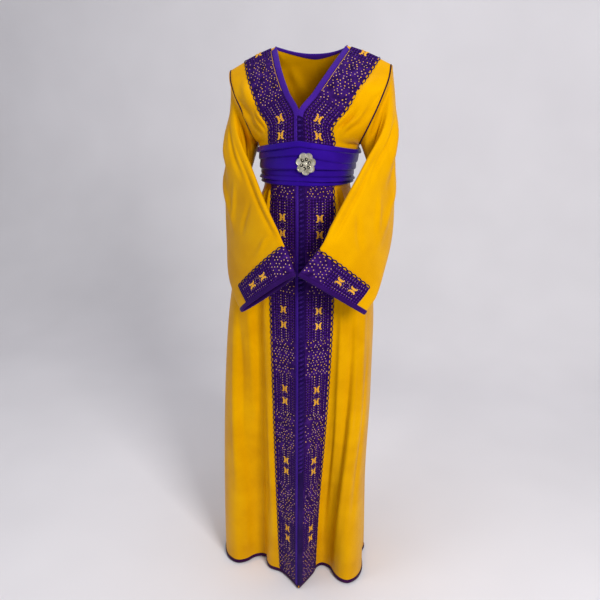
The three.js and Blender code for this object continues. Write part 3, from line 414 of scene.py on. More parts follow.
# ---- creases: (across, down, across, down, half width, height), mm ----
# across runs from the front edge, or round the sleeve from its upper fold; down from the top edge.
CREASES = {
    "front_left": [
        (96, 150, 92, 215, 5, 2.2), (112, 160, 104, 218, 4, 1.8), (128, 172, 118, 216, 4, -1.6),
        (100, 60, 96, 150, 14, 2.5), (140, 80, 118, 190, 12, -3.0), (150, 60, 140, 170, 10, 2.6),
        (92, 330, 100, 470, 6, 2.4), (104, 330, 120, 520, 7, -2.8), (116, 332, 140, 560, 8, 2.6),
        (96, 360, 104, 800, 10, 2.0), (150, 520, 170, 1050, 14, 3.2), (190, 640, 200, 1200, 12, -3.4),
        (120, 760, 128, 1330, 9, -3.0), (216, 700, 232, 1300, 10, 2.2), (140, 930, 176, 985, 6, 1.6),
        (132, 560, 150, 1400, 16, -2.6), (100, 900, 104, 1420, 7, 2.0),
    ],
    "front_right": [
        (92, 150, 90, 212, 5, 2.2), (108, 140, 98, 215, 4, -2.0), (122, 130, 108, 216, 5, 2.4),
        (134, 150, 118, 214, 4, -1.8), (96, 50, 92, 150, 14, 2.2), (140, 70, 122, 180, 12, -2.6),
        (90, 330, 98, 480, 6, 2.6), (100, 332, 114, 560, 6, -3.0), (112, 330, 128, 620, 7, 2.6),
        (104, 520, 118, 1260, 9, 3.0), (132, 620, 150, 1330, 10, -3.4), (170, 560, 180, 1200, 12, 2.8),
        (196, 760, 206, 1340, 9, -2.4), (120, 940, 164, 968, 6, 1.4), (150, 880, 180, 930, 5, 1.2),
        (148, 700, 166, 1420, 8, 2.4), (108, 900, 112, 1400, 6, -2.0),
    ],
    "back": [
        (-70, 60, -30, 170, 14, -2.2), (70, 64, 34, 176, 14, -2.2), (-105, 110, -60, 214, 10, 2.4),
        (104, 104, 58, 212, 10, 2.4), (-20, 150, -14, 222, 6, 1.8), (26, 156, 18, 222, 6, 1.6),
        (-60, 330, -76, 540, 8, 2.6), (-28, 330, -36, 600, 8, -2.6), (8, 330, 6, 560, 8, 2.4),
        (44, 330, 56, 620, 8, -2.6), (80, 330, 98, 540, 8, 2.4), (-120, 420, -150, 900, 12, 2.6),
        (120, 460, 150, 960, 12, -2.6), (-40, 700, -52, 1300, 12, 2.8), (60, 760, 80, 1330, 12, 2.6),
    ],
    "sleeve_left": [
        (-40, 60, -70, 190, 12, 3.0), (-80, 40, -96, 200, 12, -3.4), (-24, 90, -30, 260, 7, -2.6),
        (-60, 230, -130, 290, 9, 2.0), (-30, 300, -110, 345, 8, -1.8), (-20, 400, -96, 420, 7, 2.2),
        (-50, 452, -120, 470, 6, 2.4), (-90, 440, -150, 474, 5, -2.2), (-24, 480, -60, 492, 5, 1.8),
        (30, 70, 56, 220, 12, 2.6), (70, 60, 84, 240, 12, -2.8), (40, 280, 110, 340, 9, 1.8),
        (110, 60, 120, 300, 12, 2.2), (-120, 120, -132, 330, 12, 2.6), (0, 110, 0, 450, 5, 2.6),
        (-12, 120, -14, 440, 5, -1.6),
    ],
    "sleeve_right": [
        (40, 60, 66, 190, 12, 3.0), (84, 40, 92, 210, 12, -3.4), (22, 80, 26, 240, 7, -2.6),
        (70, 220, 120, 296, 9, 2.2), (30, 290, 100, 352, 8, -1.8), (24, 410, 100, 436, 7, 2.2),
        (56, 452, 124, 480, 6, 2.2), (100, 436, 150, 478, 5, -2.2), (30, 486, 64, 500, 5, 1.8),
        (-34, 70, -60, 220, 12, 2.6), (-74, 60, -88, 240, 12, -2.8), (-44, 270, -110, 330, 9, 1.8),
        (126, 110, 136, 330, 12, 2.4), (-120, 90, -126, 320, 12, 2.2), (0, 100, 0, 440, 5, 2.6),
        (12, 110, 14, 430, 5, -1.6),
    ],
}


def creased(name, points, normals, across, down, fade):
    """Soft ridges and troughs along a panel, fading out at their ends and where fade is 0."""
    out = np.zeros(points.shape[:2])
    for i, (a0, d0, a1, d1, width, height) in enumerate(CREASES[name]):
        vx, vy = a1 - a0, d1 - d0
        span = vx * vx + vy * vy
        t = ((across - a0) * vx + (down - d0) * vy) / span
        wander = 0.25 * width * np.sin(3.1 * t * (1 + i % 3) + i)
        off = ((across - a0) * vy - (down - d0) * vx) / math.sqrt(span) + wander
        ends = np.clip(1.18 - np.abs(2 * t - 1), 0, 1)
        taper = ends * ends * (3 - 2 * ends)
        w = width * (0.75 + 0.5 * np.clip(t, 0, 1))
        out += CREASE_GAIN * height * taper * np.exp(-(off / w) ** 2)
    return points + normals * (out * fade)[..., None]


def falls_of(points):
    """Each grid point's distance from the top edge."""
    down = run_of(points[:, points.shape[1] // 3])
    return np.repeat(down[:, None], points.shape[1], axis=1)


# ---- meshes ----

def grid_uv(rows, cols, swap=False):
    """UV pairs for a grid with these distances down its rows and across its columns."""
    grid = np.meshgrid(rows, cols, indexing="ij")
    return np.stack(grid[::-1] if swap else grid, -1).reshape(-1, 2)


def link_object(name, data):
    obj = bpy.data.objects.new(name, data)
    bpy.context.scene.collection.objects.link(obj)
    return obj


def add(name, verts, faces, material, uv, replaces=(), sharp=50, marks=None):
    """One piece. uv and marks may be given for one face of a wall, and hold for both."""
    mesh = bpy.data.meshes.new(name)
    mesh.from_pydata((np.asarray(verts) / 1000).tolist(), [], faces)
    bm = bmesh.new()
    bm.from_mesh(mesh)
    bmesh.ops.recalc_face_normals(bm, faces=bm.faces)
    bm.to_mesh(mesh)
    bm.free()
    uv = np.tile(uv, (len(verts) // len(uv), 1))
    index = np.empty(len(mesh.loops), int)
    mesh.loops.foreach_get("vertex_index", index)
    layer = mesh.uv_layers.new(name="UVMap")
    layer.data.foreach_set("uv", (uv[index] / 1000).ravel())
    if marks is not None:
        attribute = mesh.attributes.new("block", "FLOAT", "POINT")
        attribute.data.foreach_set("value", np.tile(marks, 2).astype(np.float32))
    mesh.shade_smooth()
    mesh.set_sharp_from_angle(angle=math.radians(sharp))
    obj = link_object(name, mesh)
    mesh.materials.append(material)
    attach(obj, "root")
    if replaces:
        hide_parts(*replaces)
    return obj


def wall(points, normals, low, high, wrap=False):
    """Points and faces of a closed thin wall between two distances from a grid."""
    rows, cols = points.shape[:2]
    high = np.broadcast_to(high, (rows, cols))[..., None]
    low = np.broadcast_to(low, (rows, cols))[..., None]
    verts = np.concatenate([(points + normals * high).reshape(-1, 3),
                            (points + normals * low).reshape(-1, 3)])
    n = rows * cols
    index = np.arange(n).reshape(rows, cols)
    if wrap:
        index = np.concatenate([index, index[:, :1]], axis=1)
    a, b, c, d = index[:-1, :-1], index[:-1, 1:], index[1:, 1:], index[1:, :-1]
    quads = np.stack([a, b, c, d], -1).reshape(-1, 4)
    faces = [quads, quads[:, ::-1] + n]
    rims = [index[0], index[-1]] + ([] if wrap else [index[:, 0], index[:, -1]])
    faces += [np.stack([rim[:-1], rim[1:], rim[1:] + n, rim[:-1] + n], -1) for rim in rims]
    return verts, np.concatenate(faces).tolist()


def sweep(edge, inward, normal, profile, closed=False):
    """A profile of (depth from the edge, height) points carried along an edge."""
    prof = np.array(profile, float)
    sections = (edge[:, None] + inward[:, None] * prof[None, :, :1]
                + normal[:, None] * prof[None, :, 1:])
    n, k = sections.shape[:2]
    index = np.arange(n * k).reshape(n, k)
    if closed:
        index = np.concatenate([index, index[:1]])
    ring = np.concatenate([index, index[:, :1]], axis=1)
    faces = np.stack([ring[:-1, :-1], ring[:-1, 1:], ring[1:, 1:], ring[1:, :-1]], -1)
    faces = faces.reshape(-1, 4).tolist()
    if not closed:
        faces += [index[0].tolist(), index[-1].tolist()]
    uv = grid_uv(run_of(edge), run_of(prof))
    return sections.reshape(-1, 3), faces, uv


class Bag:
    """Many small shapes gathered into one mesh."""

    def __init__(self):
        self.verts, self.faces, self.count = [], [], 0

    def put(self, shape, at, x, y, z):
        verts, faces = shape
        world = at + verts[:, :1] * x + verts[:, 1:2] * y + verts[:, 2:] * z
        self.verts.append(world)
        self.faces += [[i + self.count for i in face] for face in faces]
        self.count += len(verts)

    def make(self, name, slot, material, replaces=()):
        verts = np.concatenate(self.verts)
        uv = np.stack([verts[:, 0] + verts[:, 1], verts[:, 2]], 1)
        return add(name, verts, self.faces, material, uv, replaces, sharp=40)


def dome(sides=6, waist=0.74, rise=0.62):
    turn = TAU * np.arange(sides) / sides
    ring = np.stack([np.cos(turn), np.sin(turn), 0 * turn], 1)
    verts = np.vstack([ring, ring * [waist, waist, 0] + [0, 0, rise], [[0, 0, 1]]])
    faces = [list(range(sides))[::-1]]
    for i in range(sides):
        j = (i + 1) % sides
        faces += [[i, j, sides + j, sides + i], [sides + i, sides + j, 2 * sides]]
    return verts, faces


def box_shape():
    verts = np.array([(x, y, z) for z in (0, 1) for y in (-1, 1) for x in (-1, 1)], float)
    verts[4:, :2] *= 0.72
    return verts, [[0, 1, 3, 2], [4, 6, 7, 5], [0, 4, 5, 1], [2, 3, 7, 6], [0, 2, 6, 4], [1, 5, 7, 3]]


def ball():
    verts, faces, around, up = [(0, 0, 1)], [], 8, 6
    for i in range(1, up):
        a = math.pi * i / up
        verts += [(math.sin(a) * math.cos(TAU * k / around), math.sin(a) * math.sin(TAU * k / around),
                   math.cos(a)) for k in range(around)]
    verts.append((0, 0, -1))
    for k in range(around):
        j = (k + 1) % around
        faces.append([0, 1 + k, 1 + j])
        for i in range(up - 2):
            o = 1 + i * around
            faces.append([o + k, o + around + k, o + around + j, o + j])
        o = 1 + (up - 2) * around
        faces.append([o + k, len(verts) - 1, o + j])
    return np.array(verts, float), faces


def arc(start, end, wire, steps, sides):
    """A bent wire of radius 1 in the x, y plane, from one angle to another, in turns."""
    closed = abs(end - start) > 0.999
    turn = TAU * (start + (end - start) * np.arange(steps + (0 if closed else 1)) / steps)
    around = TAU * np.arange(sides) / sides
    thin = np.ones(len(turn)) if closed else 0.55 + 0.45 * np.sin(np.linspace(0, math.pi, len(turn)))
    r = 1 + wire * thin[:, None] * np.cos(around)
    verts = np.stack([r * np.cos(turn)[:, None], r * np.sin(turn)[:, None],
                      wire * thin[:, None] * np.sin(around) + 0 * turn[:, None]], -1)
    n = len(turn)
    faces = []
    for i in range(n if closed else n - 1):
        for k in range(sides):
            a, b = i * sides, ((i + 1) % n) * sides
            faces.append([a + k, a + (k + 1) % sides, b + (k + 1) % sides, b + k])
    if not closed:
        faces += [list(range(sides)), list(range((n - 1) * sides, n * sides))[::-1]]
    return verts.reshape(-1, 3), faces


DOT, BAR, BALL = dome(), box_shape(), ball()


class Surface:
    """A grid on the cloth that answers where a distance across and down lies."""

    def __init__(self, points, normals, across, down):
        self.p, self.n, self.across, self.down = points, normals, across, down

    def at(self, a, d, lift):
        r = float(np.interp(d, self.down, np.arange(len(self.down))))
        c = float(np.interp(a, self.across, np.arange(len(self.across))))
        i, j = min(int(r), len(self.down) - 2), min(int(c), len(self.across) - 2)
        u, v = r - i, c - j
        p = self.p

        def mix(g):
            return ((g[i, j] * (1 - v) + g[i, j + 1] * v) * (1 - u)
                    + (g[i + 1, j] * (1 - v) + g[i + 1, j + 1] * v) * u)

        normal = mix(self.n)
        normal /= np.linalg.norm(normal)
        x = p[i, j + 1] - p[i, j]
        x -= normal * (x @ normal)
        x /= np.linalg.norm(x)
        return mix(p) + normal * lift, x, np.cross(normal, x), normal


# ---- materials ----

def lin(r, g, b):
    """A colour given in 8-bit screen values, none of them near black."""
    return tuple(((v / 255 + 0.055) / 1.055) ** 2.4 for v in (r, g, b)) + (1,)


class Nodes:
    def __init__(self, name):
        self.material = bpy.data.materials.new(name)
        self.material.use_nodes = True
        self.tree = self.material.node_tree
        self.shader = self.tree.nodes["Principled BSDF"]
        self.uv = self.node("ShaderNodeTexCoord").outputs["UV"]
        self.place = self.tree.nodes[-1].outputs["Object"]

    def node(self, kind, **values):
        n = self.tree.nodes.new(kind)
        for key, value in values.items():
            setattr(n, key, value)
        return n

    def link(self, a, b):
        self.tree.links.new(a, b)

    def noise(self, scale, detail, source=None):
        n = self.node("ShaderNodeTexNoise")
        n.inputs["Scale"].default_value = scale
        n.inputs["Detail"].default_value = detail
        n.inputs["Roughness"].default_value = 0.55
        self.link(source or self.uv, n.inputs["Vector"])
        return n.outputs["Fac"]

    def waves(self, pitch_mm, direction, bend=0.4):
        n = self.node("ShaderNodeTexWave", wave_type="BANDS", bands_direction=direction,
                      wave_profile="SIN")
        n.inputs["Scale"].default_value = 1000 / pitch_mm / 3.1831
        n.inputs["Distortion"].default_value = bend
        n.inputs["Detail"].default_value = 1.0
        self.link(self.uv, n.inputs["Vector"])
        return n.outputs["Fac"]

    def maths(self, kind, a, b):
        n = self.node("ShaderNodeMath", operation=kind)
        for k, v in enumerate((a, b)):
            if isinstance(v, (int, float)):
                n.inputs[k].default_value = v
            else:
                self.link(v, n.inputs[k])
        return n.outputs[0]

    def ramp(self, fac, stops):
        n = self.node("ShaderNodeValToRGB")
        while len(n.color_ramp.elements) < len(stops):
            n.color_ramp.elements.new(0.5)
        for element, (at, colour) in zip(n.color_ramp.elements, stops):
            element.position, element.color = at, colour
        self.link(fac, n.inputs["Fac"])
        return n.outputs["Color"]

    def mix(self, fac, a, b, blend="MIX"):
        n = self.node("ShaderNodeMix", data_type="RGBA", blend_type=blend)
        for k, v in ((0, fac), (6, a), (7, b)):
            if hasattr(v, "links"):
                self.link(v, n.inputs[k])
            else:
                n.inputs[k].default_value = v
        return n.outputs[2]

    def colour(self, source):
        self.link(source, self.shader.inputs["Base Color"])

    def bump(self, height, strength, distance):
        n = self.node("ShaderNodeBump")
        n.inputs["Strength"].default_value = strength
        n.inputs["Distance"].default_value = distance
        self.link(height, n.inputs["Height"])
        self.link(n.outputs["Normal"], self.shader.inputs["Normal"])

    def roughness(self, fac, low, high):
        n = self.node("ShaderNodeMapRange")
        n.inputs["To Min"].default_value, n.inputs["To Max"].default_value = low, high
        self.link(fac, n.inputs["Value"])
        self.link(n.outputs["Result"], self.shader.inputs["Roughness"])

    def set(self, **values):
        for key, value in values.items():
            self.shader.inputs[key.replace("_", " ")].default_value = value
        return self.material


def cloth(name, *row):
    m = Nodes(name)
    base, dark, light = ((*colour, 1) for colour in row[:3])
    rough, thread_mm, weave = row[3:]
    broad = m.noise(9, 3)
    fine = m.noise(420, 2)
    colour = m.ramp(broad, [(0.3, dark), (0.52, base), (0.74, light)])
    threads = m.maths("MULTIPLY", m.waves(thread_mm, "X"), m.waves(thread_mm * 1.15, "Y"))
    speck = m.ramp(m.maths("ADD", m.maths("MULTIPLY", threads, 0.5), m.maths("MULTIPLY", fine, 0.5)),
                   [(0.25, (0.86, 0.86, 0.86, 1)), (0.7, (1, 1, 1, 1))])
    m.colour(m.mix(1.0, colour, speck, "MULTIPLY"))
    m.bump(m.maths("ADD", threads, m.maths("MULTIPLY", fine, 0.8)), weave, 0.0002)
    m.roughness(m.noise(40, 2), rough - 0.06, rough + 0.08)
    return m.set(Specular_Tint=light, Specular_IOR_Level=0.3)


def embroidery(name, base, dark, light):
    """Dense stitched ground: a small grid of thread blocks in the ribbed stretches."""
    m = Nodes(name)
    block = m.node("ShaderNodeAttribute", attribute_name="block").outputs["Fac"]
    cell = m.maths("MULTIPLY", m.waves(RIB_PITCH, "Y", 0.0), m.waves(RIB_PITCH, "X", 0.0))
    threads = m.waves(1.1, "DIAGONAL", 1.2)
    speck = m.noise(300, 3)
    ground = m.ramp(m.noise(60, 4), [(0.3, dark), (0.55, base), (0.78, light)])
    lines = m.ramp(cell, [(0.03, dark), (0.3, base), (0.8, light)])
    colour = m.mix(m.maths("MULTIPLY", block, 0.85), ground, lines)
    m.colour(colour)
    height = m.maths("ADD", m.maths("MULTIPLY", threads, 0.6), speck)
    m.bump(height, 0.6, 0.0005)
    m.roughness(speck, 0.55, 0.8)
    return m.set(Specular_Tint=light, Specular_IOR_Level=0.2)


def silver_metal(name, tone=1.0):
    m = Nodes(name)
    spots = m.noise(90, 4, m.place)
    stops = ((0.35, (176, 168, 146)), (0.55, (232, 226, 208)), (0.75, (250, 246, 234)))
    m.colour(m.ramp(spots, [(at, (*(tone * v for v in lin(*rgb)[:3]), 1)) for at, rgb in stops]))
    m.bump(m.noise(900, 3, m.place), 0.25, 0.0003)
    m.roughness(spots, 0.22, 0.42)
    return m.set(Metallic=0.85)


# name, base, dark and light colours, roughness, pitch of the threads in mm, depth of the weave
SATIN, VIOLET, BRAID, SASH, PIPING, GOLD, PALE, KNOT, DARK_TAPE, HEM_TAPE = (cloth(*row) for row in [
    ("golden_satin", (0.74, 0.36, 0), (0.65, 0.3, 0), (0.8, 0.41, 0), 0.46, 0.6, 0.2),
    ("violet_tape", (0.05, 0.012, 0.25), (0.04, 0.01, 0.2), (0.065, 0.018, 0.3), 0.5, 0.5, 0.3),
    ("purple_braid", (0.016, 0.004, 0.07), (0.01, 0.002, 0.04), (0.03, 0.008, 0.11), 0.6, 0.8, 0.5),
    ("sash_satin", (0.028, 0.005, 0.25), (0.022, 0.004, 0.2), (0.036, 0.007, 0.31), 0.34, 0.5, 0.2),
    ("piping_cord", (0.035, 0.006, 0.035), (0.025, 0.004, 0.025), (0.05, 0.01, 0.05), 0.6, 0.8, 0.5),
    ("gold_thread", (0.85, 0.44, 0.04), (0.75, 0.36, 0.03), (0.95, 0.55, 0.08), 0.4, 0.7, 0.5),
    ("pale_gold_thread", (0.62, 0.36, 0.22), (0.5, 0.27, 0.16), (0.75, 0.48, 0.3), 0.45, 0.7, 0.5),
    ("violet_knots", (0.035, 0.01, 0.15), (0.022, 0.005, 0.09), (0.055, 0.016, 0.21), 0.5, 0.6, 0.6),
    ("dark_tape", (0.03, 0.006, 0.1), (0.02, 0.004, 0.07), (0.04, 0.008, 0.13), 0.5, 0.5, 0.3),
    ("hem_tape", (0.035, 0.004, 0.045), (0.025, 0.003, 0.03), (0.05, 0.006, 0.06), 0.55, 0.5, 0.3),
])
PURPLE = embroidery("purple_embroidery", (0.03, 0.006, 0.1, 1), (0.01, 0.002, 0.032, 1),
                    (0.06, 0.014, 0.19, 1))
SILVER = silver_metal("worn_silver")
DARK_SILVER = silver_metal("tarnished_silver", 0.06)


# ---- panels ----

PANELS = {}


def flat_area(points, wrap):
    """A sheet's own area, m2, from its grid before creasing."""
    p = np.concatenate([points, points[:, :1]], axis=1) if wrap else points
    u, v = p[1:, 1:] - p[:-1, :-1], p[1:, :-1] - p[:-1, 1:]
    return float(np.linalg.norm(np.cross(u, v), axis=2).sum()) / 2e6


UNDER_SASH = (BODY_ROWS > 0.985) & (BODY_ROWS < AT_SASH_END + 0.01)


def seam_fade(points, first_edge):
    """0 at the seams and under the sash, 1 over the open cloth."""
    rows, cols = points.shape[:2]
    r, c = np.arange(rows)[:, None], np.arange(cols)[None]
    across = np.minimum(c, cols - 1 - c) if first_edge else cols - 1 - c
    fade = np.clip(np.minimum(r, rows - 1 - r) / 3, 0, 1) * np.clip(across / 3, 0, 1)
    fade[UNDER_SASH] = 0
    return fade


def satin_panel(node, grid, s, across, down, fade, flip, width, wrap=False):
    """A creased panel from its plain grid; what it was cut to goes to PANELS."""
    points, normals = grid
    shaped = creased(node, points, normals, across, down, fade)
    verts, faces = wall(shaped, normals_of(shaped, flip, wrap), -SATIN_HALF, SATIN_HALF, wrap)
    uv = np.stack([s, down], -1).reshape(-1, 2)
    panel = add(node + "_cloth", verts, faces, SATIN, uv, [node])
    PANELS[node] = (panel, width, down.max(), flat_area(points, wrap))


for name, side in SIDES.items():
    points, normals, s = front_grid(side)
    fade = seam_fade(points, False) * np.clip((s - BAND_WIDTH + 4) / 14, 0, 1)
    satin_panel(f"front_{name}", (points, normals), s, s, falls_of(points), fade, side, s.max())

grid = back_grid()
width = widths_of(grid[0])
s = width - width[:, BACK_HALF:BACK_HALF + 1]
satin_panel("back", grid, s, s, falls_of(grid[0]), seam_fade(grid[0], True), -1,
            (s.max(axis=1) - s.min(axis=1)).max())

SLEEVE_ROWS = 110
TURN = np.arange(120) / 120
for name, side in SIDES.items():
    points = sleeve_grid(side, np.linspace(0, 1, SLEEVE_ROWS), TURN)
    normals = normals_of(points, -side, wrap=True)
    run = widths_of(np.concatenate([points, points[:, :1]], axis=1))
    total, s = run[:, -1:], run[:, :-1]
    across = np.where(s > total / 2, s - total, s) * -side
    down = falls_of(points)
    row = np.arange(SLEEVE_ROWS)
    ends = np.clip(np.minimum(row, SLEEVE_ROWS - 1 - row) / 8, 0, 1)[:, None]
    clear = np.clip((down.max() - CUFF_BAND - 4 - down) / 30, 0, 1)
    satin_panel(f"sleeve_{name}", (points, normals), s, across, down, ends * clear, -side,
                total.max(), wrap=True)

# ---- embroidery: blocks of dots and ribbed blocks with pairs of H shapes, by height ----

# each block or pair from its upper z to its lower one
DOT_BLOCKS = [(-30, -128), (-312, -345), (-470, -580), (-700, -800), (-900, -1015), (-1115, -1232),
              (-1318, -1425)]
PAIRS = [(-161, -199), (-393, -432), (-623, -663), (-836, -871), (-1044, -1077), (-1258, -1291)]
H_CHART = ["11...11", ".11.11.", ".11.11.", ".11111.", ".11.11.", ".11.11.", "11...11"]
SHOULDER_H = -16
H_STEP = 2.6                # one square of the chart
PICOT = arc(-0.25, 0.25, 0.27, 9, 6)
gold, pale, picots = Bag(), Bag(), Bag()


def put_h(surf, a, d, turned=False):
    """One H of raised squares; turned lays it along the cuff."""
    for i, line in enumerate(H_CHART):
        for j, mark in enumerate(line):
            if mark == "1":
                u, v = (j - 3) * H_STEP, (i - 3) * H_STEP
                if turned:
                    u, v = v, u
                place, x, y, n = surf.at(a + u, d + v, MOTIF_LIFT)
                gold.put(BAR, place, x * H_STEP * 0.54, y * H_STEP * 0.54, n * 0.9)


def put_dot(bag, surf, a, d, lift, size, height):
    place, x, y, n = surf.at(a, d, lift)
    bag.put(DOT, place, x * size, y * size, n * height)


def put_dot_ring(surf, sign, a, d):
    """Ten small dots round the point between a pair of H shapes."""
    for k in range(10):
        put_dot(pale, surf, sign * (a + 8 * math.cos(TAU * k / 10)), d + 8 * math.sin(TAU * k / 10),
                DOT_LIFT, 1.1, 0.7)


def put_loop(place, out, along_edge, n):
    """One loop of the cord that edges a band."""
    picots.put(PICOT, place + out * 0.2, out * 4.8, along_edge * 6.4, n * 5.2)


def put_foot(place, out, along_edge, n):
    """The stitches that hold the cord between two loops."""
    picots.put(DOT, place + out * 0.8, out * 4.4, along_edge * 3.2, n * 2.0)


def stitched_wall(node, points, normals, high, uv, ribbed):
    """An embroidered band; ribbed is 1 where its thread blocks stand."""
    verts, faces = wall(points, normals, TRIM_UNDER, high)
    marks = np.broadcast_to(ribbed, points.shape[:2]).ravel()
    return add(node + "_stitched", verts, faces, PURPLE, uv, [node], marks=marks)


def ribs(run):
    return 0.5 + 0.5 * np.cos(TAU * run / RIB_PITCH)


def in_blocks(z):
    inside = np.zeros_like(z, dtype=bool)
    for high, low in DOT_BLOCKS:
        inside |= (z <= high) & (z >= low)
    return inside


def band_rows(side, pitch):
    """Row parameters at even steps down the middle of the band."""
    at = np.linspace(0, 2 - HEM_BINDING / SKIRT_RUN, 700)
    mid = along(front_rows(side, at), np.array([float(BAND_MIDDLE)]))[:, 0]
    run = run_of(mid)
    want = np.arange(0, run[-1], pitch)
    return np.interp(want, run, at), want


BAND_S = np.linspace(BINDING_WIDTH, BAND_WIDTH, 31)
for name, side in SIDES.items():
    at, down = band_rows(side, RIB_PITCH / 3)
    points, normals, _ = front_grid(side, at, np.tile(BAND_S, (len(at), 1)))
    z = points[:, len(BAND_S) // 2, 2]
    plain = in_blocks(z)
    ribbed = np.convolve((~plain).astype(float), np.ones(5) / 5, mode="same")[:, None]
    rib, cell = ribs(down)[:, None], ribs(BAND_S)[None]
    high = TRIM_HIGH - 0.5 + 0.75 * ribbed * rib * (0.6 + 0.4 * cell) + 0.25 * (1 - ribbed)
    stitched_wall(f"front_band_{name}", points, normals, high,
                                grid_uv(down, BAND_S, swap=True), ribbed)
    surf = Surface(points, normals, BAND_S, down)

    def at_z(height):
        return float(np.interp(-height, -z, down))

    for high_z, low_z in DOT_BLOCKS:
        first, last = at_z(high_z), at_z(low_z)
        count = max(2, round((last - first) / 7.2))
        for i in range(count):
            d = first + (i + 0.5) * (last - first) / count
            for j in range(7):
                a = 18 + 9.4 * (j + 0.5 * (i % 2)) + RNG.uniform(-2.2, 2.2)
                if a > 78 or RNG.random() < 0.16:
                    continue
                dot_d = d + RNG.uniform(-2.0, 2.0)
                size = RNG.uniform(1.2, 1.8)
                bag = gold if RNG.random() < 0.3 else pale
                put_dot(bag, surf, a, dot_d, DOT_LIFT, size, 0.9)
    for top_z, low_z in PAIRS:
        for h, away in ((top_z, -1), (low_z, 1)):
            put_h(surf, BAND_MIDDLE, at_z(h))
            for step in range(1, 5):
                for a in (BAND_MIDDLE - 7, BAND_MIDDLE + 7):
                    put_dot(pale, surf, a, at_z(h) + away * (8 + 7 * step), DOT_LIFT, 1.5, 0.9)
        put_dot_ring(surf, 1, BAND_MIDDLE, (at_z(top_z) + at_z(low_z)) / 2)
    put_h(surf, BAND_MIDDLE, at_z(SHOULDER_H))
    for d in np.arange(14, 1405, RIB_PITCH):
        if not plain[min(int(d / RIB_PITCH * 3), len(plain) - 1)]:
            for a in (21, 33, 61, 73):
                if RNG.random() < 0.72:
                    put_dot(pale, surf, a, d, SPECK_LIFT, 1.0, 0.7)
    for d in np.arange(12, 150, 4.2):
        place, x, y, n = surf.at(13.6, d, MOTIF_LIFT)
        gold.put(DOT, place, x * 0.9, y * 1.5, n * 0.8)
    for d in np.arange(6, down[-1] - 8, PICOT_PITCH):
        place, x, y, n = surf.at(BAND_WIDTH, d, TRIM_HIGH - 0.9)
        put_loop(place, x, y, n)
        place, x, y, n = surf.at(BAND_WIDTH, d + PICOT_PITCH / 2, TRIM_HIGH - 1.0)
        put_foot(place, x, y, n)

# ---- cuffs ----

for name, side in SIDES.items():
    ring, rows = sleeve_tables(side)
    length = sleeve_length(rows)
    near = np.linspace(0, CUFF_BAND - CUFF_BINDING, 29)
    at = 1 - (CUFF_BAND - near) / length
    turn = np.linspace(-0.362, 0.362, 121)
    wide = sleeve_grid(side, at, turn % 1)
    normals = normals_of(wide, -side)
    run = run_of(wide[14])
    run -= run[60]
    ribbed = 1 / (1 + np.exp(-(np.abs(run) - 52) / 3))[None]
    rib, cell = ribs(near)[:, None], ribs(run)[None]
    high = TRIM_HIGH - 0.5 + 0.7 * ribbed * cell * (0.6 + 0.4 * rib) + 0.2 * (1 - ribbed)
    stitched_wall(f"cuff_band_{name}", wide, normals, high, grid_uv(near, run), ribbed)
    surf = Surface(wide, normals, run, near)
    for layer in (-1, 1):
        for a in (84, 124):
            put_h(surf, layer * a, CUFF_MIDDLE, turned=True)
        put_dot_ring(surf, layer, 104, CUFF_MIDDLE)
        for i in range(7):
            for j in range(6):
                a = layer * (4 + 7.4 * i)
                d = 6 + 9.6 * (j + 0.5 * (i % 2)) + RNG.uniform(-2.0, 2.0)
                if d < 58 and RNG.random() > 0.1:
                    put_dot(pale, surf, a, d, DOT_LIFT, 1.6, 0.9)
        for a in np.arange(58, run[-1] - 6, RIB_PITCH):
            for d in (8, 20, 42, 54):
                if RNG.random() < 0.75:
                    put_dot(pale, surf, layer * a, d, SPECK_LIFT, 1.0, 0.7)
    for a in np.arange(run[0] + 6, run[-1] - 6, PICOT_PITCH):
        place, x, y, n = surf.at(a, 0, TRIM_HIGH - 0.9)
        up = y if y @ (wide[0, 60] - wide[5, 60]) > 0 else -y
        put_loop(place, up, x, n)
        place, x, y, n = surf.at(a + PICOT_PITCH / 2, 0, TRIM_HIGH - 1.0)
        put_foot(place, up, x, n)

gold.make("gold_motifs", "embroidery", GOLD)
pale.make("pale_dots", "embroidery", PALE)
picots.make("picot_edging", "embroidery", BRAID)

# ---- closure: a strip over the opening, two cords along it, knots with their loops ----

at = np.linspace(AT_V_POINT, 2 - HEM_BINDING / SKIRT_RUN, 420)
near = np.tile(np.linspace(0, BINDING_WIDTH, 6), (420, 1))
(left, ln, _), (right, rn, _) = (front_grid(side, at, near) for side in (LEFT, RIGHT))
points = np.concatenate([left[:, :0:-1], right], axis=1)
normals = np.concatenate([ln[:, :0:-1], rn], axis=1)
normals[:, 5] = ln[:, 0] + rn[:, 0]
for _ in range(2):
    normals[:, 1:-1] = normals[:, :-2] + 2 * normals[:, 1:-1] + normals[:, 2:]
    normals /= np.linalg.norm(normals, axis=2, keepdims=True)
across = np.linspace(-BINDING_WIDTH, BINDING_WIDTH, 11)
run = run_of(points[:, 5])
shape = TRIM_HIGH - 0.3 + 0.5 * np.exp(-((np.abs(across) - 9.5) / 1.6) ** 2)
verts, faces = wall(points, normals, TRIM_UNDER, np.tile(shape, (420, 1)))
add("closure_strip", verts, faces, BRAID, grid_uv(run, across, swap=True), ["closure"])
centre = Surface(points, normals, across, run)
cords = Bag()
for d in np.arange(2, run[-1] - 2, 3.2):
    for a, wide in ((-9.6, 1.3), (-5.8, 2.6)):
        place, x, y, n = centre.at(a, d, TRIM_HIGH + 0.2)
        slant = (x * 0.5 + y) / math.hypot(1, 0.5)
        across_cord = np.cross(n, slant)
        cords.put(BALL, place, slant * 2.7, across_cord * wide, n * 1.3)
cords.make("closure_cords", "embroidery", VIOLET)
knots = Bag()
loop = arc(0.0, 1.0, 0.3, 10, 5)
half_loop = arc(0.05, 0.45, 0.26, 6, 5)
d = BUTTON_PITCH * 0.7
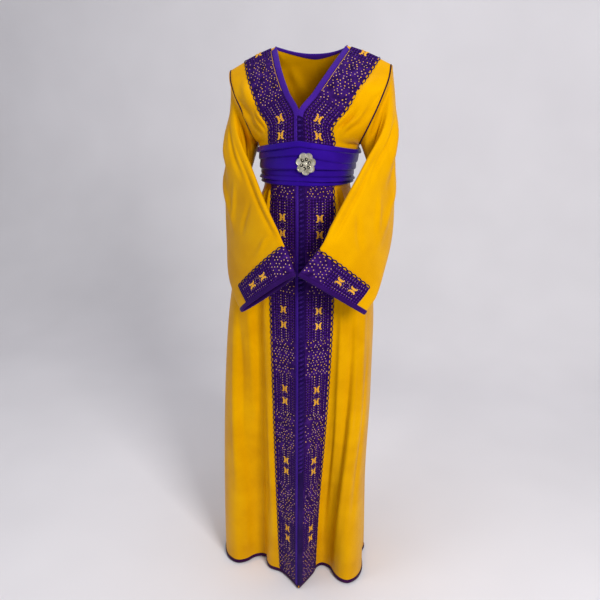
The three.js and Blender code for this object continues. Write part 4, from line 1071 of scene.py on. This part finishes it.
while True:
    place, x, y, n = centre.at(2.4, d, TRIM_HIGH + 1.1)
    if place[2] < LOWEST_BUTTON:
        break
    if not -322 < place[2] < -208:
        lean = (x + 0.45 * y) / math.hypot(1, 0.45)
        side_way = np.cross(n, lean)
        knots.put(BALL, place, lean * 4.6, side_way * 3.1, n * 2.2)
        knots.put(loop, place + n * 0.4, lean * 3.1, side_way * 2.3, n * 2.6)
        knots.put(half_loop, place + lean * 2.4 - n * 0.2, side_way * 2.6, lean * 4.2, n * 2.2)
        knots.put(half_loop, place - lean * 2.4 - n * 0.2, side_way * 2.6, -lean * 4.2, n * 2.2)
    d += BUTTON_PITCH
knots.make("knots_and_loops", "embroidery", KNOT)

# ---- bindings, piping and stitching ----


def tape(width):
    """A folded tape's outline: (depth, height), rounded over the edge."""
    front = [(width, 1.0), (width - 0.4, 2.0), (width * 0.75, 2.5), (width * 0.4, 2.7), (0.6, 2.5),
             (-1.2, 1.9), (-2.2, 0.9), (-2.5, 0)]
    return front + [(a, -b) for a, b in front[-2::-1]]


def smooth_rows(v, times):
    v = v.copy()
    for _ in range(times):
        v[1:-1] = (v[:-2] + 2 * v[1:-1] + v[2:]) / 4
    return v


stitches = Bag()


def stitch_line(edge, inward, normal, depth):
    run = run_of(edge)
    for d in np.arange(STITCH_PITCH, run[-1] - STITCH_PITCH, STITCH_PITCH):
        i = min(int(np.searchsorted(run, d)) - 1, len(edge) - 2)
        t = (d - run[i]) / (run[i + 1] - run[i])
        e, w, n = (v[i] * (1 - t) + v[i + 1] * t for v in (edge, inward, normal))
        ahead = unit(edge[i + 1] - edge[i])
        beside = unit(np.cross(n, ahead))
        stitches.put(DOT, e + w * depth + n * STITCH_LIFT, ahead * 1.35, beside * 0.4, n * 0.5)


def bind(name, path, width, inset, material, node, closed=False):
    """A folded tape along an edge, with its line of stitches."""
    verts, faces, uv = sweep(*path, tape(width), closed)
    stitch_line(*path, width - inset)
    return add(name, verts, faces, material, uv, [node])


neck_at = np.linspace(0, AT_V_POINT, 60)
sides = {}
for name, side in SIDES.items():
    p, n, _ = front_grid(side, neck_at, np.tile([0.0, BINDING_WIDTH], (60, 1)))
    sides[name] = (p[:, 0], unit(p[:, 1] - p[:, 0]), unit(n[:, 0] + n[:, 1]))
nape_points, nape_normals = back_grid(np.array([0.0, 0.03, 0.06, 0.1]))
cols = slice(BACK_HALF - 24, BACK_HALF + 25)
nape = (nape_points[0, cols], unit(nape_points[1, cols] - nape_points[0, cols]),
        unit(nape_normals[1, cols]))
path = [np.concatenate([sides["left"][k][:0:-1], nape[k][1:-1], sides["right"][k][1:]])
        for k in range(3)]
path[1], path[2] = unit(smooth_rows(path[1], 4)), unit(smooth_rows(path[2], 4))
NECK = bind("neck_binding_tape", path, BINDING_WIDTH, 1.4, VIOLET, "neck_binding")

keys = 2 - np.array([16.0, HEM_BINDING, 0]) / SKIRT_RUN
hem = []
for name, side in SIDES.items():
    rows = front_rows(side, keys)
    total = length_of(rows)[:, None]
    p = along(rows, total * np.linspace(0.004, 1, 120)[None])
    hem.append((p[-1], unit(p[-2] - p[-1]), normals_of(p, side)[-1]))
bp, bn = back_grid(np.array([keys[0], keys[1], 2.0]))
lower = (bp[-1], unit(bp[-2] - bp[-1]), bn[-1])
path = [np.concatenate([hem[0][k], lower[k][1:-1], hem[1][k][::-1]]) for k in range(3)]
path[2] = unit(smooth_rows(path[2], 3))
HEM = bind("hem_binding_tape", path, HEM_BINDING, 1.2, HEM_TAPE, "hem_binding")

for name, side in SIDES.items():
    ring, rows = sleeve_tables(side)
    length = sleeve_length(rows)
    at = np.array([1 - 2 * CUFF_BINDING / length, 1 - CUFF_BINDING / length, 1.0])
    g = sleeve_grid(side, at, TURN)
    n = normals_of(g, -side, wrap=True)
    bind(f"cuff_binding_{name}_tape", [g[-1], unit(g[-2] - g[-1]), n[-1]], CUFF_BINDING,
                       1.3, DARK_TAPE, f"cuff_binding_{name}", closed=True)
    ring, out = armhole_ring(side, 150)
    ring = ring + out * 2.2
    ahead = unit(np.roll(ring, -1, axis=0) - np.roll(ring, 1, axis=0))
    radial = unit(np.cross(ahead, out))
    angle = TAU * np.arange(10) / 10
    profile = [(PIPING_RADIUS * math.cos(a), PIPING_RADIUS * math.sin(a)) for a in angle]
    verts, faces, uv = sweep(ring, radial, np.tile(out, (150, 1)), profile, closed=True)
    add(f"armhole_piping_{name}_cord", verts, faces, PIPING, uv, [f"armhole_piping_{name}"])
stitches.make("edge_stitches", "binding", BRAID)

# ---- sash ----

# each pleat's upper edge as a share of the sash's height, at the left side, the middle and the
# right side, and how far the pleat rolls out
PLEATS = [
    (0.0, 0.0, 0.0, 3.0), (0.17, 0.13, 0.15, 2.4), (0.37, 0.33, 0.43, 4.6), (0.60, 0.64, 0.60, 1.8),
    (0.76, 0.76, 0.80, 4.2), (0.90, 0.87, 0.91, 2.4), (1.0, 1.0, 1.0, 0.0),
]
SASH_ROWS = 40
at = 1 + (AT_SASH_END - 1) * np.linspace(0, 1, SASH_ROWS)
fl, fln, _ = front_grid(LEFT, at)
fr, frn, _ = front_grid(RIGHT, at)
bk, bkn = back_grid(at)
ring = np.concatenate([fl, bk[:, 1:-1], fr[:, :0:-1]], axis=1)
rn = unit(np.concatenate([fln, bkn[:, 1:-1], frn[:, :0:-1]], axis=1))
for _ in range(6):
    rn = unit(np.roll(rn, 1, axis=1) + 2 * rn + np.roll(rn, -1, axis=1))
count = ring.shape[1]
middle = ring[SASH_ROWS // 2]
girth = np.linalg.norm(middle - np.roll(middle, 1, axis=0), axis=1).cumsum()
around = girth / girth[-1] * TAU
front_share = np.clip(middle[:, 0] / 118, -1, 1)    # -1 at the left side seam, 1 at the right one
# the sash begins a little below the top row, and lower at its sides, so its edge looks straight
start = 0.07 + 0.07 * np.clip(np.abs(ring[0, :, 0]) / 130, 0, 1) ** 4
depth = np.linspace(0, 1, 64)
rows, outs = [], []
for i, q in enumerate(depth):
    share = start + (0.98 - start) * q
    k = share * (SASH_ROWS - 1)
    lo = np.minimum(k.astype(int), SASH_ROWS - 2)
    f = (k - lo)[:, None]
    cols = np.arange(count)
    rows.append(ring[lo, cols] * (1 - f) + ring[lo + 1, cols] * f)
    level = []
    for a, b, c, h in PLEATS:
        side_level = np.where(front_share < 0, a, c)
        bow = b + (side_level - b) * np.abs(front_share) ** 1.3
        level.append(bow + 0.02 * np.sin(2 * around + 9 * b) * (0 < b < 1))
    out = np.zeros(count)
    for above, below, row in zip(level[:-1], level[1:], PLEATS[:-1]):
        raw = (q - above) / np.maximum(below - above, 1e-3)
        t = np.clip(raw, 0, 1)
        roll = (1 - np.exp(-t / 0.34)) * (1 - np.exp(-(1 - t) / 0.07)) * (0.55 + 0.6 * t)
        fold = row[3] * (0.75 + 0.35 * np.sin(around * 2 + 5 * row[1]))
        out = np.where((raw >= 0) & (raw <= 1), 1.0 + fold * roll * 2.3, out)
    outs.append(out + 0.5 * np.sin(3 * around + 5 * q))
rows, outs = np.array(rows), np.array(outs)
outs[0], outs[-1] = 0.4, 0.4
outs[1], outs[-2] = outs[1] * 0.7, outs[-2] * 0.8
lo = (depth * (SASH_ROWS - 1)).astype(int)
verts, faces = wall(rows, rn[lo], TRIM_HIGH + 0.4, TRIM_HIGH + 0.8 + outs, wrap=True)
sash_girth = girth[-1]
uv = grid_uv(depth * SASH_HEIGHT, around / TAU * sash_girth, swap=True)
SASH_PIECE = add("sash_cloth", verts, faces, SASH, uv, ["sash"])

# ---- brooch: seven petals round six curls, each curl over a dark recess ----

brooch = Bag()
back_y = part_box("brooch")[1][1] * 1000
X, Z, OUT = np.array([1.0, 0, 0]), np.array([0, 0, 1.0]), np.array([0, -1.0, 0])
centre_at = np.array([BROOCH_X, back_y, BROOCH_Z])
ground = Bag()


def ray_at(a, squeeze):
    """A ray of the brooch at an angle, its unit direction and the direction beside it."""
    ray = X * math.cos(a) * squeeze + Z * math.sin(a)
    return ray, unit(ray), unit(np.cross(OUT, ray))


brooch.put(dome(28, 0.9, 0.75), centre_at, X * 20.5, Z * 23.5, OUT * 3.4)
for k in range(7):
    ray, ray_u, side_way = ray_at(TAU * (k + 0.25) / 7, 0.87)
    spot = centre_at + ray * 18.6
    brooch.put(dome(16, 0.8, 0.7), spot, ray_u * 8.4, side_way * 9.4, OUT * 4.4)
    brooch.put(arc(-0.3, 0.3, 0.17, 14, 6), spot + OUT * 3.0, ray_u * 6.2, side_way * 7.6, OUT * 7)
for k in range(6):
    ray, ray_u, side_way = ray_at(TAU * (k + 0.3) / 6, 0.88)
    spot = centre_at + ray * 11.4 + OUT * 3.2
    ground.put(dome(12, 0.9, 0.7), spot, ray_u * 4.6, side_way * 4.4, OUT * 0.9)
    brooch.put(arc(-0.3, 0.42, 0.3, 16, 6), spot + OUT * 0.4, ray_u * 4.8, side_way * 4.6, OUT * 5.5)
    brooch.put(BALL, spot + OUT * 0.6 - side_way * 1.0, ray_u * 1.9, side_way * 1.6, OUT * 1.6)
brooch.put(BALL, centre_at + OUT * 3.4, X * 4.6, Z * 4.6, OUT * 2.6)
GROUND = ground.make("brooch_ground", "silver", DARK_SILVER, ["brooch"])
BROOCH = brooch.make("flower_brooch", "silver", SILVER, ["brooch"])

# ---- each sheet's width, length and area, read back from PANELS; nothing further uses them ----

for name in SIDES:
    panel, w, length, area = PANELS[f"front_{name}"]
    w, length = w / 1000, length / 1000
    sleeve, w, length, area = PANELS[f"sleeve_{name}"]
panel, w, length, area = PANELS["back"]

# ---- floor, light and camera ----

def stage_mesh():
    """A pale floor that curves up into a wall behind."""
    floor, back_at, radius = float(np.array(CAD_BOX)[0][2]) - 0.003, 2.4, 1.2
    profile = [(-4.0, floor), (back_at - radius, floor)]
    for k in range(1, 13):
        a = math.pi / 2 * k / 12
        profile.append((back_at - radius + radius * math.sin(a), floor + radius * (1 - math.cos(a))))
    profile.append((back_at, 5.0))
    verts = [(x, y, z) for y, z in profile for x in (-6.0, 6.0)]
    faces = [[2 * i, 2 * i + 1, 2 * i + 3, 2 * i + 2] for i in range(len(profile) - 1)]
    mesh = bpy.data.meshes.new("floor")
    mesh.from_pydata(verts, [], faces)
    mesh.shade_smooth()
    obj = link_object("floor", mesh)
    m = Nodes("pale_floor")
    m.colour(m.ramp(m.noise(2, 2, m.place), [(0.3, lin(228, 226, 231)), (0.7, lin(234, 232, 237))]))
    mesh.materials.append(m.set(Roughness=0.85))


stage_mesh()


def area_light(name, place, target, size, power, colour=(1, 1, 1)):
    data = bpy.data.lights.new(name, "AREA")
    data.shape, data.size, data.size_y = "RECTANGLE", size[0], size[1]
    data.energy, data.color = power, colour
    obj = link_object(name, data)
    obj.location = place
    way = np.array(target, float) - np.array(place, float)
    yaw = math.atan2(way[1], way[0]) - math.pi / 2
    pitch = math.atan2(way[2], math.hypot(way[0], way[1])) + math.pi / 2
    obj.rotation_euler = (pitch, 0, yaw)


area_light("key", (2.0, -2.3, 0.9), (0, 0, -0.6), (1.0, 1.2), 92, (1.0, 0.98, 0.96))
area_light("fill", (-2.3, -1.8, 0.2), (0, 0, -0.8), (1.6, 2.0), 15, (0.98, 0.98, 1.0))
area_light("top", (0, -0.3, 2.2), (0, 0, -0.6), (2.0, 1.6), 24)
world = bpy.data.worlds.new("studio")
world.use_nodes = True
world.node_tree.nodes["Background"].inputs["Color"].default_value = (0.86, 0.87, 0.9, 1)
world.node_tree.nodes["Background"].inputs["Strength"].default_value = 0.36
bpy.context.scene.world = world
bpy.context.scene.view_settings.view_transform = "Standard"

camera = bpy.data.cameras.new("camera")
camera.sensor_width = 36
camera.lens = 38.58         # solved from the photo, as are the place and the turn
camera.clip_start, camera.clip_end = 0.05, 50
view = link_object("camera", camera)
view.location = (0.4016, -1.6107, -0.10)
view.rotation_euler = (math.radians(72), 0, math.radians(14.891))
bpy.context.scene.camera = view
